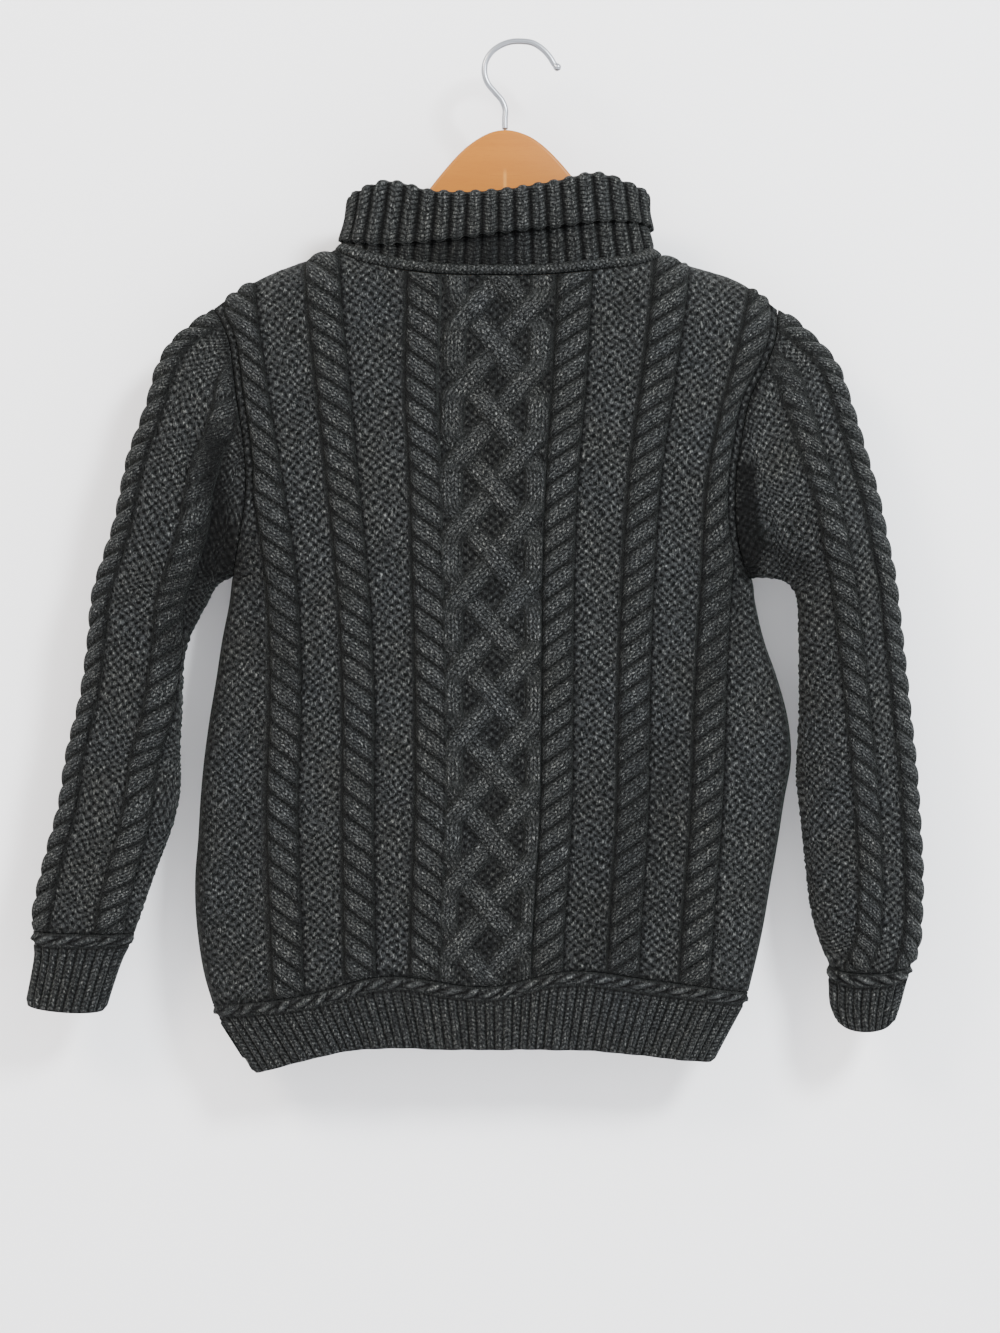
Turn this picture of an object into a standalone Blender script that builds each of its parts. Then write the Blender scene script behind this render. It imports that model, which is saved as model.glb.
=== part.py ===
"""Child's cable knit sweater with a fold-over ribbed collar, hung on a wooden hanger.

Metres, +Z up. The origin is the inner top of the hook's bend, where the hanger hangs.
+X runs across the shoulders, -Y is the side of the sweater's back, which faces the room.
Each wall is a plain inside and an outside raised by its cables and ribs. Tables are in
millimetres: x is measured from the origin, and drop is the depth below it.
"""
import math

import bmesh
import bpy
import numpy as np

MM = 0.001
SEAM_GAP = 0.0003          # every piece stops this far from the next one
EASE_GAP = 0.0010          # the same where two bent edges meet in unlike straight runs
WALL = 0.003               # knitted cloth behind its raised pattern
PLAIN = 0.0008             # mean height of moss stitch above the wall
GROOVE = 0.0002            # bottom of the purl groove beside a rope
ROPE_HIGH = 0.0032         # strand on top of a crossing
ROPE_LOW = 0.0019          # strand between crossings
RIB_HIGH = 0.0016
CHAIN_HIGH = 0.0026        # twisted ridge over hem and cuff ribs
ROPE_HALF = 0.0104         # half the width of a rope cable
BACK_DEPTH = 0.028         # from the hanger's plane to the back panel
FRONT_DEPTH = 0.024
SHOULDER_ROUND = 0.030     # height over which the shoulder rounds over
ARM_DEPTH = 0.022          # half depth of the armhole
NECK_BAND = 0.008          # height of the picked-up edge round the neck
COLLAR_DEPTH = 0.026       # half depth of the collar at its fold
COLLAR_NARROW = 0.91       # width at the collar's fold as a share of the width at its foot
COLLAR_TUCK = 0.0033       # how much closer the turned part lies at both ends
COLLAR_IN = 0.0006         # inside of the fold, in from the line through its top
COLLAR_FOLD = 0.0022       # outside of the fold, and the stand's wall under it
COLLAR_SHOULDER = 0.0056   # outside of the turned part just below the fold
COLLAR_TURNED = 0.0070     # outside of the turned part at its edge
COLLAR_UNDER = 0.0036      # inside of the turned part at its edge
NECK_RIDGE = 0.0022        # height of the ridge on the picked-up edge
PANEL_TWIST = 0.0028       # how far a rope's top runs to and fro on a panel
SLEEVE_TWIST = 0.0024      # the same on a sleeve
SLEEVE_STEP = 0.0098       # from one ring of a sleeve to the next
ARM_EASE = 0.050           # run over which a sleeve leaves the shape of its armhole
UNDERARM_FADE = 0.008      # run over which the wall thins at the underarm point
UNDERARM_TURN = 0.016      # run over which the panel's side turns outwards below it
EDGE_MARGIN = 0.005        # outermost rope to the panel's side
EDGE_HALF = 0.006          # least half width of the outermost rope
TOP_WIDER = 0.0012         # what a rope gains in half width near the shoulder
TOP_ROWS = (0.0, 0.0007, 0.0028, 0.0065)   # first rows down from the shoulder seam
FOOT_LEVEL = 0.625         # drop at which the columns' places on the foot are read
PANEL_START = 0.17         # first guess of the drop of a panel's upper edge
PULL_FADE = 0.030          # run over which a column leaves the neck's corner
BODY_MIDDLE = (-0.012, 0, -0.4)
HANGER_HALF = 0.006
HOOK_RADIUS = 0.002
BACK, FRONT = -1, 1

# drop, left edge, right edge of the body: armhole seam down to 354, side seam below it
BODY_EDGES = (
    (176, -200, 174.5), (186, -193.5, 173.5), (198, -188.5, 171.5), (215, -185.5, 165),
    (235, -183, 155), (264, -178.5, 148.5), (300, -177, 144.5), (328, -181.5, 146.5),
    (345, -185, 151), (354, -187, 156.4), (370, -189, 159), (396, -194, 165),
    (422, -198, 174), (449, -202.5, 181), (475, -206, 183), (502, -208.5, 178.5),
    (528, -210, 174.5), (554, -212, 170), (594, -210, 163), (620, -205.5, 157),
    (640, -199.5, 152),
)
# drop, then the middle of each rope cable from left to right
ROPE_LANES = (
    (140, -184, -127, -59, 39, 104, 170), (172, -181.5, -125, -59.5, 38.3, 101, 165),
    (231, -173, -119, -61, 35.3, 93, 150), (290, -163, -113, -58.7, 30.7, 85, 136.6),
    (350, -154, -107, -57, 28.4, 81, 133), (429, -150.5, -102.6, -55, 27.7, 78, 128.4),
    (508, -152.5, -102.6, -55, 26.7, 77, 125.7), (587, -150.2, -102, -58, 22, 72.3, 120),
    (640, -148, -101, -59, 20, 70, 117),
)
# x, drop along the shoulder seams, and under the collar where they would meet
SHOULDER_LINE = (
    (-201, 177), (-183.5, 165), (-164, 154.4), (-142, 146), (-118.8, 138.6),
    (-75, 128), (-12, 124), (55, 129), (97, 142.6), (120, 149.2), (150.5, 159.7),
    (175, 177.4),
)
NECK_LEFT, NECK_RIGHT = -118.8, 97.0
# x, drop of the neck edge of the back panel, then of the front panel
NECK_LINES = (
    (-118.8, 138.6, 138.6), (-104, 147, 156), (-86, 151.8, 174), (-62, 155.8, 190),
    (-18, 157.7, 202), (23, 157.1, 199), (61, 153.1, 180), (84, 149, 158),
    (97, 142.6, 142.6),
)
# x, drop of the panels' lower edge
PANEL_FOOT = (
    (-200, 637.6), (-142, 630), (-87, 616.4), (-16.5, 623), (36, 613), (89, 619),
    (158, 629.6),
)
# x, drop of the hem's lower edge
HEM_FOOT = ((-171.6, 683), (-109, 666.6), (-30, 665.5), (56, 667), (130, 676))
# outer x, outer drop, underarm x, underarm drop, half depth, how far the near side hangs lower
LEFT_SLEEVE = (
    (-200.0, 176.2, -186.8, 353.1, 22, 0), (-213.2, 187.4, -191, 354.8, 22, 0),
    (-224.4, 196.7, -195.4, 357, 22, 0), (-234.3, 212.5, -199.3, 360.8, 23, 0),
    (-241.6, 237.6, -202.6, 366.3, 23, 0), (-247.5, 254.8, -206, 373.6, 23, 0),
    (-253.4, 270.6, -210, 380.2, 23, 0), (-258.7, 293.7, -213.8, 388, 23, 0),
    (-263.3, 316.8, -217.8, 398, 22, 0), (-270, 338.6, -220.5, 410, 22, 0),
    (-277.5, 363, -221.3, 426, 22, 0), (-281, 396, -221.8, 444, 21, 0),
    (-286, 432.3, -223.2, 468.6, 21, 0), (-295.5, 472, -223.1, 495, 20, 0),
    (-300.5, 505, -227.7, 518.1, 20, 0), (-310, 541.2, -238.3, 546.5, 19, 0),
    (-316.8, 571, -247.5, 573, 18, 0), (-319.5, 588.7, -253.4, 590, 16, 0),
)
RIGHT_SLEEVE = (
    (174.2, 176.9, 156.4, 354.4, 22, 0), (186, 186, 161.7, 354, 22, 0),
    (198, 196.7, 167.6, 354, 23, 0), (211, 211.9, 173.6, 354.6, 23, 0),
    (219.5, 234.3, 179.5, 356.5, 24, 0), (225.7, 254.1, 184.4, 360.5, 24, 0),
    (232, 275.9, 187.6, 366.5, 24, 0), (239, 300.3, 188.8, 374.5, 24, 0),
    (244.5, 326.7, 189, 385, 23, 0), (249.6, 351.1, 189.4, 399.3, 23, 0),
    (253.2, 379.5, 189.4, 417.1, 22, 0), (256.5, 409.2, 189.6, 436.9, 22, 0),
    (260, 442.2, 188.8, 458.7, 21, 0), (264, 478.5, 187.6, 485.1, 21, 0),
    (266.6, 514.8, 190.6, 516.1, 20, 0), (268.4, 547.8, 194, 547.8, 19, 2),
    (268, 577.5, 197.5, 576, 18, 3), (266.4, 597.3, 203.5, 597.3, 17, 4),
    (262.7, 609.8, 209.4, 611.2, 16, 5),
)
LEFT_CUFF = (
    (-317.6, 596, -257.6, 597.6, 15, 0), (-317.5, 604, -261.8, 605.5, 14.5, 0),
    (-320, 621, -268, 622.5, 14.5, 1), (-323.4, 637.8, -273.9, 641.5, 15, 2),
)
RIGHT_CUFF = (
    (261.2, 613.5, 210.6, 616, 15, 5), (258.6, 622, 210.6, 624.4, 14.5, 5),
    (255, 634.9, 211.4, 637, 14, 6), (250.4, 647, 215.6, 648.4, 14, 7),
)
# across the collar from -1 to 1, then drops: back fold, back edge, front fold, front edge
COLLAR_LINES = (
    (-1.0, 101, 131, 103, 131), (-0.85, 95, 135, 104, 142), (-0.45, 102, 135, 118, 160),
    (0.0, 101.5, 130, 126, 169), (0.4, 95.5, 125.5, 120, 162), (0.72, 89.5, 121.5, 106, 146),
    (1.0, 98, 121, 99, 124),
)
COLLAR_RIBS = 45
HEM_RIBS = 116
CUFF_RIBS = 22
# height in millimetres of the plait over one repeat: strand lanes and the gaps between them
PLAIT_REPEAT = (
    (1.2, 3.2, 1.6, 0.3, 1.6, 3.2, 1.2), (2.6, 1.6, 2.2, 1.0, 2.2, 1.6, 2.6),
    (2.8, 0.4, 2.4, 1.8, 2.4, 0.4, 2.8), (2.4, 0.3, 1.6, 3.2, 1.6, 0.3, 2.4),
    (2.8, 0.4, 2.4, 1.8, 2.4, 0.4, 2.8), (2.6, 1.6, 2.2, 1.0, 2.2, 1.6, 2.6),
)
# side, then x and drop of each end, half width, height of the main folds (troughs are minus)
FOLDS = (
    (BACK, -222, 296, -206, 346, 12, -4.0), (BACK, -176, 330, -150, 420, 16, -2.0),
    (BACK, 150, 320, 128, 420, 16, -2.5), (BACK, 168, 300, 205, 330, 12, 3.0),
    (BACK, 160, 330, 182, 348, 10, -3.0), (BACK, -30, 420, -60, 600, 30, 2.0),
    (BACK, 90, 480, 60, 610, 28, -2.0), (FRONT, -150, 300, -80, 470, 24, -3.0),
    (FRONT, 120, 300, 60, 460, 24, -3.0), (FRONT, -20, 330, -10, 560, 30, 2.5),
    (FRONT, -205, 320, -230, 380, 13, -3.5), (FRONT, 165, 310, 215, 360, 13, -3.5),
)


def smooth(places, values, where):
    """Cubic through named stations, with each slope taken from the two neighbours."""
    places, values = np.asarray(places, float), np.asarray(values, float)
    slopes = np.gradient(values, places)
    where = np.clip(where, places[0], places[-1])
    i = np.clip(np.searchsorted(places, where) - 1, 0, len(places) - 2)
    span = places[i + 1] - places[i]
    t = (where - places[i]) / span
    rise = (1 + 2 * t) * (1 - t) ** 2 * values[i] + t * t * (3 - 2 * t) * values[i + 1]
    return rise + span * t * (1 - t) * ((1 - t) * slopes[i] - t * slopes[i + 1])


def read_table(table, column, where):
    """One column of a table at a place given in metres, in metres."""
    rows = np.asarray(table, float)
    return smooth(rows[:, 0] * MM, rows[:, column] * MM, where)


def top_drop(x, side):
    """Drop of a panel's upper edge: the shoulder seams, with the neck edge between them."""
    neck = read_table(NECK_LINES, 1 if side == BACK else 2, x)
    inside = (x > NECK_LEFT * MM) & (x < NECK_RIGHT * MM)
    return np.where(inside, neck, read_table(SHOULDER_LINE, 1, x))


def armhole(left):
    """Middle drop and half height of an armhole."""
    first, last = (LEFT_SLEEVE if left else RIGHT_SLEEVE)[0][1:4:2]
    return 0.5 * (first + last) * MM, 0.5 * (last - first) * MM


def fold_height(side, x, drop):
    """Sum of the soft folds: each is a bell across its line that fades past its ends."""
    total = np.zeros(np.broadcast(x, drop).shape)
    for fold_side, x0, d0, x1, d1, width, height in FOLDS:
        if fold_side != side:
            continue
        run = np.array((x1 - x0, d1 - d0)) * MM
        length = math.hypot(*run)
        along = ((x - x0 * MM) * run[0] + (drop - d0 * MM) * run[1]) / length
        across = ((x - x0 * MM) * run[1] - (drop - d0 * MM) * run[0]) / length
        past = np.maximum(np.maximum(-along, along - length), 0.0)
        total = total + height * MM * np.exp(-(across ** 2 + past ** 2) / (width * MM) ** 2)
    return total


def panel_depth(side, x, drop):
    """Distance from the hanger's plane to a panel: a flattened tube that closes at the side
    seams, opens at the armholes and rounds over at the shoulders."""
    left, right = (read_table(BODY_EDGES, column, drop) for column in (1, 2))
    reach = np.clip((x - 0.5 * (left + right)) / (0.5 * (right - left)), -1, 1)
    full = BACK_DEPTH if side == BACK else FRONT_DEPTH
    full = full * (1 - 0.22 * np.clip((drop - 0.45) / 0.2, 0, 1) ** 2)
    edge = np.zeros(np.shape(reach))
    for is_left, share in ((True, 0.5 - 0.5 * reach), (False, 0.5 + 0.5 * reach)):
        middle, half = armhole(is_left)
        edge = edge + share * ARM_DEPTH * np.sqrt(np.clip(1 - ((drop - middle) / half) ** 2, 0, 1))
    crown = 0.85 * np.sqrt(1 - np.abs(reach) ** 4) + 0.15 * (1 - reach ** 2)
    fade = np.clip((drop - read_table(SHOULDER_LINE, 1, x)) / SHOULDER_ROUND, 0, 1)
    depth = edge + (full - edge) * crown
    folds = fold_height(side, x, drop) * crown ** 0.5 * fade
    return depth * np.sqrt(1 - (1 - fade) ** 2) + folds


def unit(vectors):
    return vectors / np.linalg.norm(vectors, axis=-1, keepdims=True)


def outward(grid, wrap, centre):
    """Unit normals of a grid of points, turned away from the centre points."""
    down = np.gradient(grid, axis=0)
    if wrap:
        across = np.roll(grid, -1, 1) - np.roll(grid, 1, 1)
    else:
        across = np.gradient(grid, axis=1)
    normal = unit(np.cross(down, across) + 1e-12)
    return normal if (normal * (grid - centre)).sum() > 0 else -normal


def sleeve_columns(left):
    """Angle from the sleeve's outer edge, round the back, and kind of each sleeve column."""
    rope = 116 if left else 92
    return ((0, "groove"), (22, "crest"), (45, "groove"), (rope - 43 if left else 66, "moss"),
            (rope - 15, "groove"), (rope, "crest"), (rope + 15, "groove"), (152, "moss"),
            (180, "moss"), (208, "moss"), (345 - rope, "groove"), (360 - rope, "crest"),
            (375 - rope, "groove"), (296, "moss"), (315, "moss"), (338, "moss"))


def armhole_ring(left):
    """Points and outward directions where panels and sleeve meet, one for each sleeve column."""
    middle, half = armhole(left)
    angle = np.radians([column[0] for column in sleeve_columns(left)])
    drop = middle - half * np.cos(angle)
    x = read_table(BODY_EDGES, 1 if left else 2, drop)
    depth = np.where(np.sin(angle) > 0, panel_depth(BACK, x, drop), panel_depth(FRONT, x, drop))
    y = np.where(np.abs(np.sin(angle)) < 1e-6, 0.0, -np.sign(np.sin(angle)) * depth)
    out = unit(np.stack((0 * x, -np.sin(angle) / ARM_DEPTH, np.cos(angle) / half), 1))
    thin = 1 - 0.5 * np.exp(-((drop - middle - half) / UNDERARM_FADE) ** 2)
    return np.stack((x, y, -drop), 1), out * thin[:, None]


def armhole_edge(left, side, drops):
    """The armhole ring read at a panel's rows, along the straight runs between its points."""
    points, out = armhole_ring(left)
    order = np.arange(0, 9) if side == BACK else np.r_[0, np.arange(15, 7, -1)]
    share = np.interp(drops, -points[order, 2], np.arange(len(order)))
    first = np.minimum(share.astype(int), len(order) - 2)
    part = (share - first)[:, None]
    ends = [np.take(values[order], first, 0) * (1 - part) + np.take(values[order], first + 1, 0)
            * part for values in (points, out)]
    return ends[0], ends[1]


def panel_columns(drop):
    """x and kind of each column of a panel at the given drops, left to right."""
    lanes = [read_table(ROPE_LANES, k + 1, drop) for k in range(6)]
    left, right = (read_table(BODY_EDGES, column, drop) for column in (1, 2))
    half = ROPE_HALF + TOP_WIDER * np.clip((0.3 - drop) / 0.15, 0, 1)
    first = np.maximum(lanes[0] - half, left + EDGE_MARGIN)
    last = np.minimum(lanes[5] + half, right - EDGE_MARGIN)
    lanes[0] = np.maximum(lanes[0], first + EDGE_HALF)
    lanes[5] = np.minimum(lanes[5], last - EDGE_HALF)
    columns = [(left, "seam"), (left + 0.12 * (first - left), "moss"),
               (left + 0.45 * (first - left), "moss"), (first, "groove"), (lanes[0], "crest"),
               (lanes[0] + half, "groove")]
    for k in range(1, 5):
        if k == 3:
            near, far = lanes[2] + half, lanes[3] - half
            for step in range(1, 8):
                columns.append((near + (far - near) * step / 8, "plait%d" % (step - 1)))
        if k in (2, 4):
            before = lanes[k - 1] + half
            columns.append((0.5 * (before + lanes[k] - half), "moss"))
        columns += [(lanes[k] - half, "groove"), (lanes[k], "crest"), (lanes[k] + half, "groove")]
    columns += [(lanes[5] - half, "groove"), (lanes[5], "crest"), (last, "groove"),
                (right - 0.45 * (right - last), "moss"), (right - 0.12 * (right - last), "moss"),
                (right, "seam")]
    return np.stack([x for x, kind in columns], -1), [kind for x, kind in columns]


def panel_height(kinds, row):
    """Height of the raised pattern along one row of a panel."""
    height = np.full(len(kinds), PLAIN)
    odd = row % 2
    for k, kind in enumerate(kinds):
        if kind == "groove":
            height[k] = GROOVE
        elif kind == "crest":
            height[k] = ROPE_LOW if odd else ROPE_HIGH
        elif kind.startswith("plait"):
            height[k] = PLAIT_REPEAT[row % 6][int(kind[5:])] * MM
    return height


def panel(side, rows):
    """Outside base points, outward directions and heights of the back or the front panel."""
    count = panel_columns(np.array(0.3))[0].size
    kinds = panel_columns(np.array(0.3))[1]
    start = np.full(count, PANEL_START)
    pick = np.arange(count)
    for _ in range(12):
        x = panel_columns(start)[0][pick, pick]
        start = top_drop(x, side)
    neck = {kinds.index("groove", 7): NECK_LEFT * MM}
    neck[count - 1 - kinds[::-1].index("groove", 7)] = NECK_RIGHT * MM
    pull = np.zeros(count)
    for column, place in neck.items():
        pull[column] = place - x[column]
    x = x + pull
    start = np.where(pull == 0, start, read_table(SHOULDER_LINE, 1, x))
    x[0], start[0] = BODY_EDGES[0][1] * MM, LEFT_SLEEVE[0][1] * MM
    x[-1], start[-1] = BODY_EDGES[0][2] * MM, RIGHT_SLEEVE[0][1] * MM
    near_top = np.array(TOP_ROWS)
    finish = read_table(PANEL_FOOT, 1, panel_columns(np.full(count, FOOT_LEVEL))[0][pick, pick])
    share = np.linspace(0, 1, rows)[1:]
    drop = start + (finish - start - near_top[-1]) * share[:, None] + near_top[-1]
    drop = np.vstack((start + near_top[:, None], drop))
    grid_x = np.stack([panel_columns(line)[0][pick, pick] for line in drop])
    grid_x = grid_x + pull * np.exp(-((drop - start) / PULL_FADE) ** 2)
    grid_x[:, [0, -1]] = np.stack((read_table(BODY_EDGES, 1, drop[:, 0]),
                                   read_table(BODY_EDGES, 2, drop[:, -1])), 1)
    depth = panel_depth(side, grid_x, drop)
    depth[0] = np.where((x > NECK_LEFT * MM + 1e-6) & (x < NECK_RIGHT * MM - 1e-6), depth[0], 0)
    grid = np.stack((grid_x, side * np.maximum(depth, SEAM_GAP / 2), -drop), -1)
    out = outward(grid, False, np.array(BODY_MIDDLE))
    shoulder = depth[0] == 0
    out[0, shoulder] = (0, 0, 1)
    height = np.stack([panel_height(kinds, row) for row in range(len(drop))])
    for column, is_left in ((0, True), (-1, False)):
        middle, half = armhole(is_left)
        upper = drop[:, column] <= middle + half
        edge, direction = armhole_edge(is_left, side, drop[upper, column])
        edge[:, 1] = side * np.maximum(np.abs(edge[:, 1]), SEAM_GAP / 2)
        grid[upper, column] = edge
        out[upper, column] = direction
        sideways = np.array((-1.0 if is_left else 1.0, 0, 0))
        turn = np.clip((drop[~upper, column] - middle - half) / UNDERARM_TURN, 0, 1)[:, None]
        downward = np.array((0, 0, -1.0))
        turned = unit(sideways * turn + downward * (1 - turn))
        out[~upper, column] = turned * (0.5 + 0.5 * turn)
    for column, place in neck.items():
        out[0, column] = unit(np.array((-0.7 if place < 0 else 0.7, 0, 0.7)))
    twist = np.where(np.arange(len(drop)) % 2, 1, -1)[:, None] * PANEL_TWIST
    lean = np.where(np.array(kinds) == "crest", 1.0, 0.0)
    lean[count // 2:] *= -1
    grid[4:-1, :, 0] += (twist * lean)[4:-1]
    height[[0, 1, -1]] = PLAIN
    height[:, [0, -1]] = PLAIN
    return grid, out, height, neck


def build_object(name, points, faces, material):
    """A closed mesh object from points and faces, with its faces turned outwards."""
    mesh = bpy.data.meshes.new(name)
    mesh.from_pydata([tuple(p) for p in points], [], [tuple(f) for f in faces])
    work = bmesh.new()
    work.from_mesh(mesh)
    bmesh.ops.recalc_face_normals(work, faces=work.faces)
    work.to_mesh(mesh)
    work.free()
    mesh.shade_smooth()
    item = bpy.data.objects.new(name, mesh)
    mesh.materials.append(material)
    return item


def grid_faces(first, rows, cols, wrap):
    """Two triangles for each cell of a grid whose points start at number first."""
    faces = []
    for r in range(rows - 1):
        for c in range(cols if wrap else cols - 1):
            a, b = first + r * cols + c, first + r * cols + (c + 1) % cols
            faces += [(a, b, b + cols), (a, b + cols, a + cols)]
    return faces


def rim_faces(outer, inner, places):
    """Loft between a closed loop and a coarser one whose points sit at the given places."""
    faces = []
    count = len(outer)
    for k, here in enumerate(places):
        there = places[(k + 1) % len(places)]
        there = there + count if there <= here else there
        middle = (here + there) // 2
        following = inner[(k + 1) % len(inner)]
        for j in range(here, there):
            near = inner[k] if j < middle else following
            faces.append((outer[j % count], outer[(j + 1) % count], near))
        faces.append((outer[middle % count], following, inner[k]))
    return faces


def sheet_wall(name, base, out, height, keep_rows, keep_cols, material):
    """Wall of an open panel: raised outside, plain coarse inside, and a rim between them."""
    rows, cols = height.shape
    outside = base + out * height[..., None]
    inside = (base - out * WALL)[np.ix_(keep_rows, keep_cols)]
    points = np.vstack((outside.reshape(-1, 3), inside.reshape(-1, 3)))
    faces = grid_faces(0, rows, cols, False)
    faces += grid_faces(rows * cols, len(keep_rows), len(keep_cols), False)

    def loop(last_row, last_col, first, width):
        path = [(0, c) for c in range(last_col)] + [(r, last_col) for r in range(last_row)]
        path += [(last_row, c) for c in range(last_col, 0, -1)]
        path += [(r, 0) for r in range(last_row, 0, -1)]
        return path, [first + r * width + c for r, c in path]

    path, outer = loop(rows - 1, cols - 1, 0, cols)
    coarse, inner = loop(len(keep_rows) - 1, len(keep_cols) - 1, rows * cols, len(keep_cols))
    places = [path.index((keep_rows[r], keep_cols[c])) for r, c in coarse]
    faces += rim_faces(outer, inner, places)
    return build_object(name, points, faces, material)


def tube_wall(name, base, out, height, keep_rows, keep_cols, material):
    """Wall of an open-ended tube, made as sheet_wall is, with a rim at each end."""
    rows, cols = height.shape
    outside = base + out * height[..., None]
    inside = (base - out * WALL)[np.ix_(keep_rows, keep_cols)]
    points = np.vstack((outside.reshape(-1, 3), inside.reshape(-1, 3)))
    faces = grid_faces(0, rows, cols, True)
    faces += grid_faces(rows * cols, len(keep_rows), len(keep_cols), True)
    for row, coarse_row in ((0, 0), (rows - 1, len(keep_rows) - 1)):
        outer = [row * cols + c for c in range(cols)]
        start = rows * cols + coarse_row * len(keep_cols)
        inner = [start + c for c in range(len(keep_cols))]
        faces += rim_faces(outer, inner, list(keep_cols))
    return build_object(name, points, faces, material)


def sleeve_rings(table, left, step):
    """Ring points down a sleeve: ellipses between its outer and its underarm line."""
    rows = np.asarray(table, float)
    rows[:, :5] *= MM
    rows[:, 5] *= MM
    middle = 0.5 * (rows[:, 0:2] + rows[:, 2:4])
    run = np.r_[0, np.cumsum(np.hypot(*np.diff(middle, axis=0).T) + 0.002)]
    count = int(round(run[-1] / step)) + 1
    where = np.linspace(0, run[-1], count)
    outer_x, outer_d, under_x, under_d, depth, tilt = (
        smooth(run, rows[:, k], where)[:, None] for k in range(6))
    angle = np.radians([column[0] for column in sleeve_columns(left)])
    high, wide = 0.5 * (1 + np.cos(angle)), np.sin(angle)
    x = under_x + (outer_x - under_x) * high
    drop = under_d + (outer_d - under_d) * high + tilt * wide
    folds = np.where(wide > 0, fold_height(BACK, x, drop), fold_height(FRONT, x, drop))
    y = -wide * (depth + folds * np.abs(wide))
    return np.stack((x, y, -drop), -1), where


def seam_shift(points, out, left):
    """A seam ring moved off its neighbour by the seam gap, square to the cloth and the seam."""
    along = np.roll(points, -1, 0) - np.roll(points, 1, 0)
    away = unit(np.cross(along, out))
    sideways = np.array((-1.0 if left else 1.0, 0, 0))
    away = away * np.sign(away @ sideways)[:, None]
    return points + away * (EASE_GAP + SEAM_GAP)


def sleeve(name, table, left, material):
    """A sleeve from the armhole seam to the cuff, with its rope cables raised."""
    grid, where = sleeve_rings(table, left, SLEEVE_STEP)
    ring, ring_out = armhole_ring(left)
    away = seam_shift(ring, ring_out, left)
    fade = np.clip(1 - where / ARM_EASE, 0, 1)[:, None, None] ** 2
    grid = grid + (away - grid[0]) * fade
    out = outward(grid, True, grid.mean(1, keepdims=True))
    out[0] = ring_out
    kinds = [column[1] for column in sleeve_columns(left)]
    height = np.stack([panel_height(kinds, row) for row in range(len(grid))])
    crest = np.array(kinds) == "crest"
    across = unit(np.roll(grid, -1, 1) - np.roll(grid, 1, 1))
    turn = np.where(np.arange(len(grid)) % 2, 1, -1)[:, None, None] * SLEEVE_TWIST
    inner = slice(2, -1)
    grid[inner] += (across * turn * crest[:, None])[inner]
    height[[0, 1, -1]] = PLAIN
    keep = list(range(0, len(grid) - 4, 5)) + [len(grid) - 1]
    item = tube_wall(name, grid, out, height, keep, list(range(len(kinds))), material)
    return item, grid[-1], out[-1]


def along_loop(points, out, count):
    """Evenly spaced places along the straight runs of a closed loop, the loop's start kept."""
    closed, closed_out = np.vstack((points, points[:1])), np.vstack((out, out[:1]))
    run = np.r_[0, np.cumsum(np.linalg.norm(np.diff(closed, axis=0), axis=1))]
    where = np.linspace(0, run[-1], count, endpoint=False)
    pick = [np.stack([np.interp(where, run, values[:, k]) for k in range(3)], 1)
            for values in (closed, closed_out)]
    return pick[0], pick[1]


def ribbed(count):
    """Heights of a rib's crest and furrow, in turn, round a band."""
    return np.where(np.arange(count) % 2, GROOVE, RIB_HIGH)


def band_heights(count):
    """Rows of a ribbed band: seam, twisted chain ridge, then the ribs down to the edge."""
    chain = np.where(np.arange(count) % 4 < 2, CHAIN_HIGH, CHAIN_HIGH * 0.7)
    return np.stack((np.full(count, PLAIN), chain, ribbed(count), ribbed(count)))


def cuff(name, table, edge, edge_out, material):
    """A ribbed cuff that starts on the sleeve's last ring and follows its own stations."""
    count = 2 * CUFF_RIBS
    base, out = along_loop(edge, edge_out, count)
    rows = np.asarray(table, float) * MM
    start = base.mean(0)
    first = base + unit(np.array(((rows[0, 0] + rows[0, 2]) / 2, 0,
                                  -(rows[0, 1] + rows[0, 3]) / 2)) - start) * EASE_GAP
    reach = 0.5 * (edge[:, 0].max() - edge[:, 0].min())
    high = 0.5 + 0.5 * (base[:, 0] - start[0]) / reach * (-1 if start[0] < 0 else 1)
    wide = -base[:, 1] / np.abs(edge[:, 1]).max()
    rings = [first]
    for outer_x, outer_d, under_x, under_d, depth, tilt in rows[1:]:
        drop = under_d + (outer_d - under_d) * high + tilt * wide
        rings.append(np.stack((under_x + (outer_x - under_x) * high, -wide * depth, -drop), 1))
    grid = np.stack(rings)
    normal = outward(grid, True, grid.mean(1, keepdims=True))
    normal[0] = out
    keep = list(range(0, count, 3))
    return tube_wall(name, grid, normal, band_heights(count), [0, 1, 3], keep, material)


def hem_band(back, front, material):
    """The ribbed hem: a ring that starts on both panels' lower edges."""
    loop = np.vstack((back[0][-1], front[0][-1][-2:0:-1]))
    loop_out = np.vstack((back[1][-1], front[1][-1][-2:0:-1]))
    corners = [0, back[0].shape[1] - 1]
    loop[corners, 1] = 0
    count = 2 * HEM_RIBS
    base, out = along_loop(loop, loop_out, count)
    left, right = loop[:, 0].min(), loop[:, 0].max()
    share = (base[:, 0] - left) / (right - left)
    foot_x = (HEM_FOOT[0][0] + share * (HEM_FOOT[-1][0] - HEM_FOOT[0][0])) * MM
    foot = np.stack((foot_x, base[:, 1] * 0.86, -read_table(HEM_FOOT, 1, foot_x)), 1)
    first = base - np.array((0, 0, EASE_GAP))
    levels = np.array((0.0, 0.1, 0.22, 1.0))[:, None, None]
    grid = first + (foot - first) * levels
    normal = outward(grid, True, grid.mean(1, keepdims=True))
    normal[0] = out
    keep = list(range(0, count, 4))
    return tube_wall("hem_band", grid, normal, band_heights(count), [0, 3], keep, material)


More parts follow.
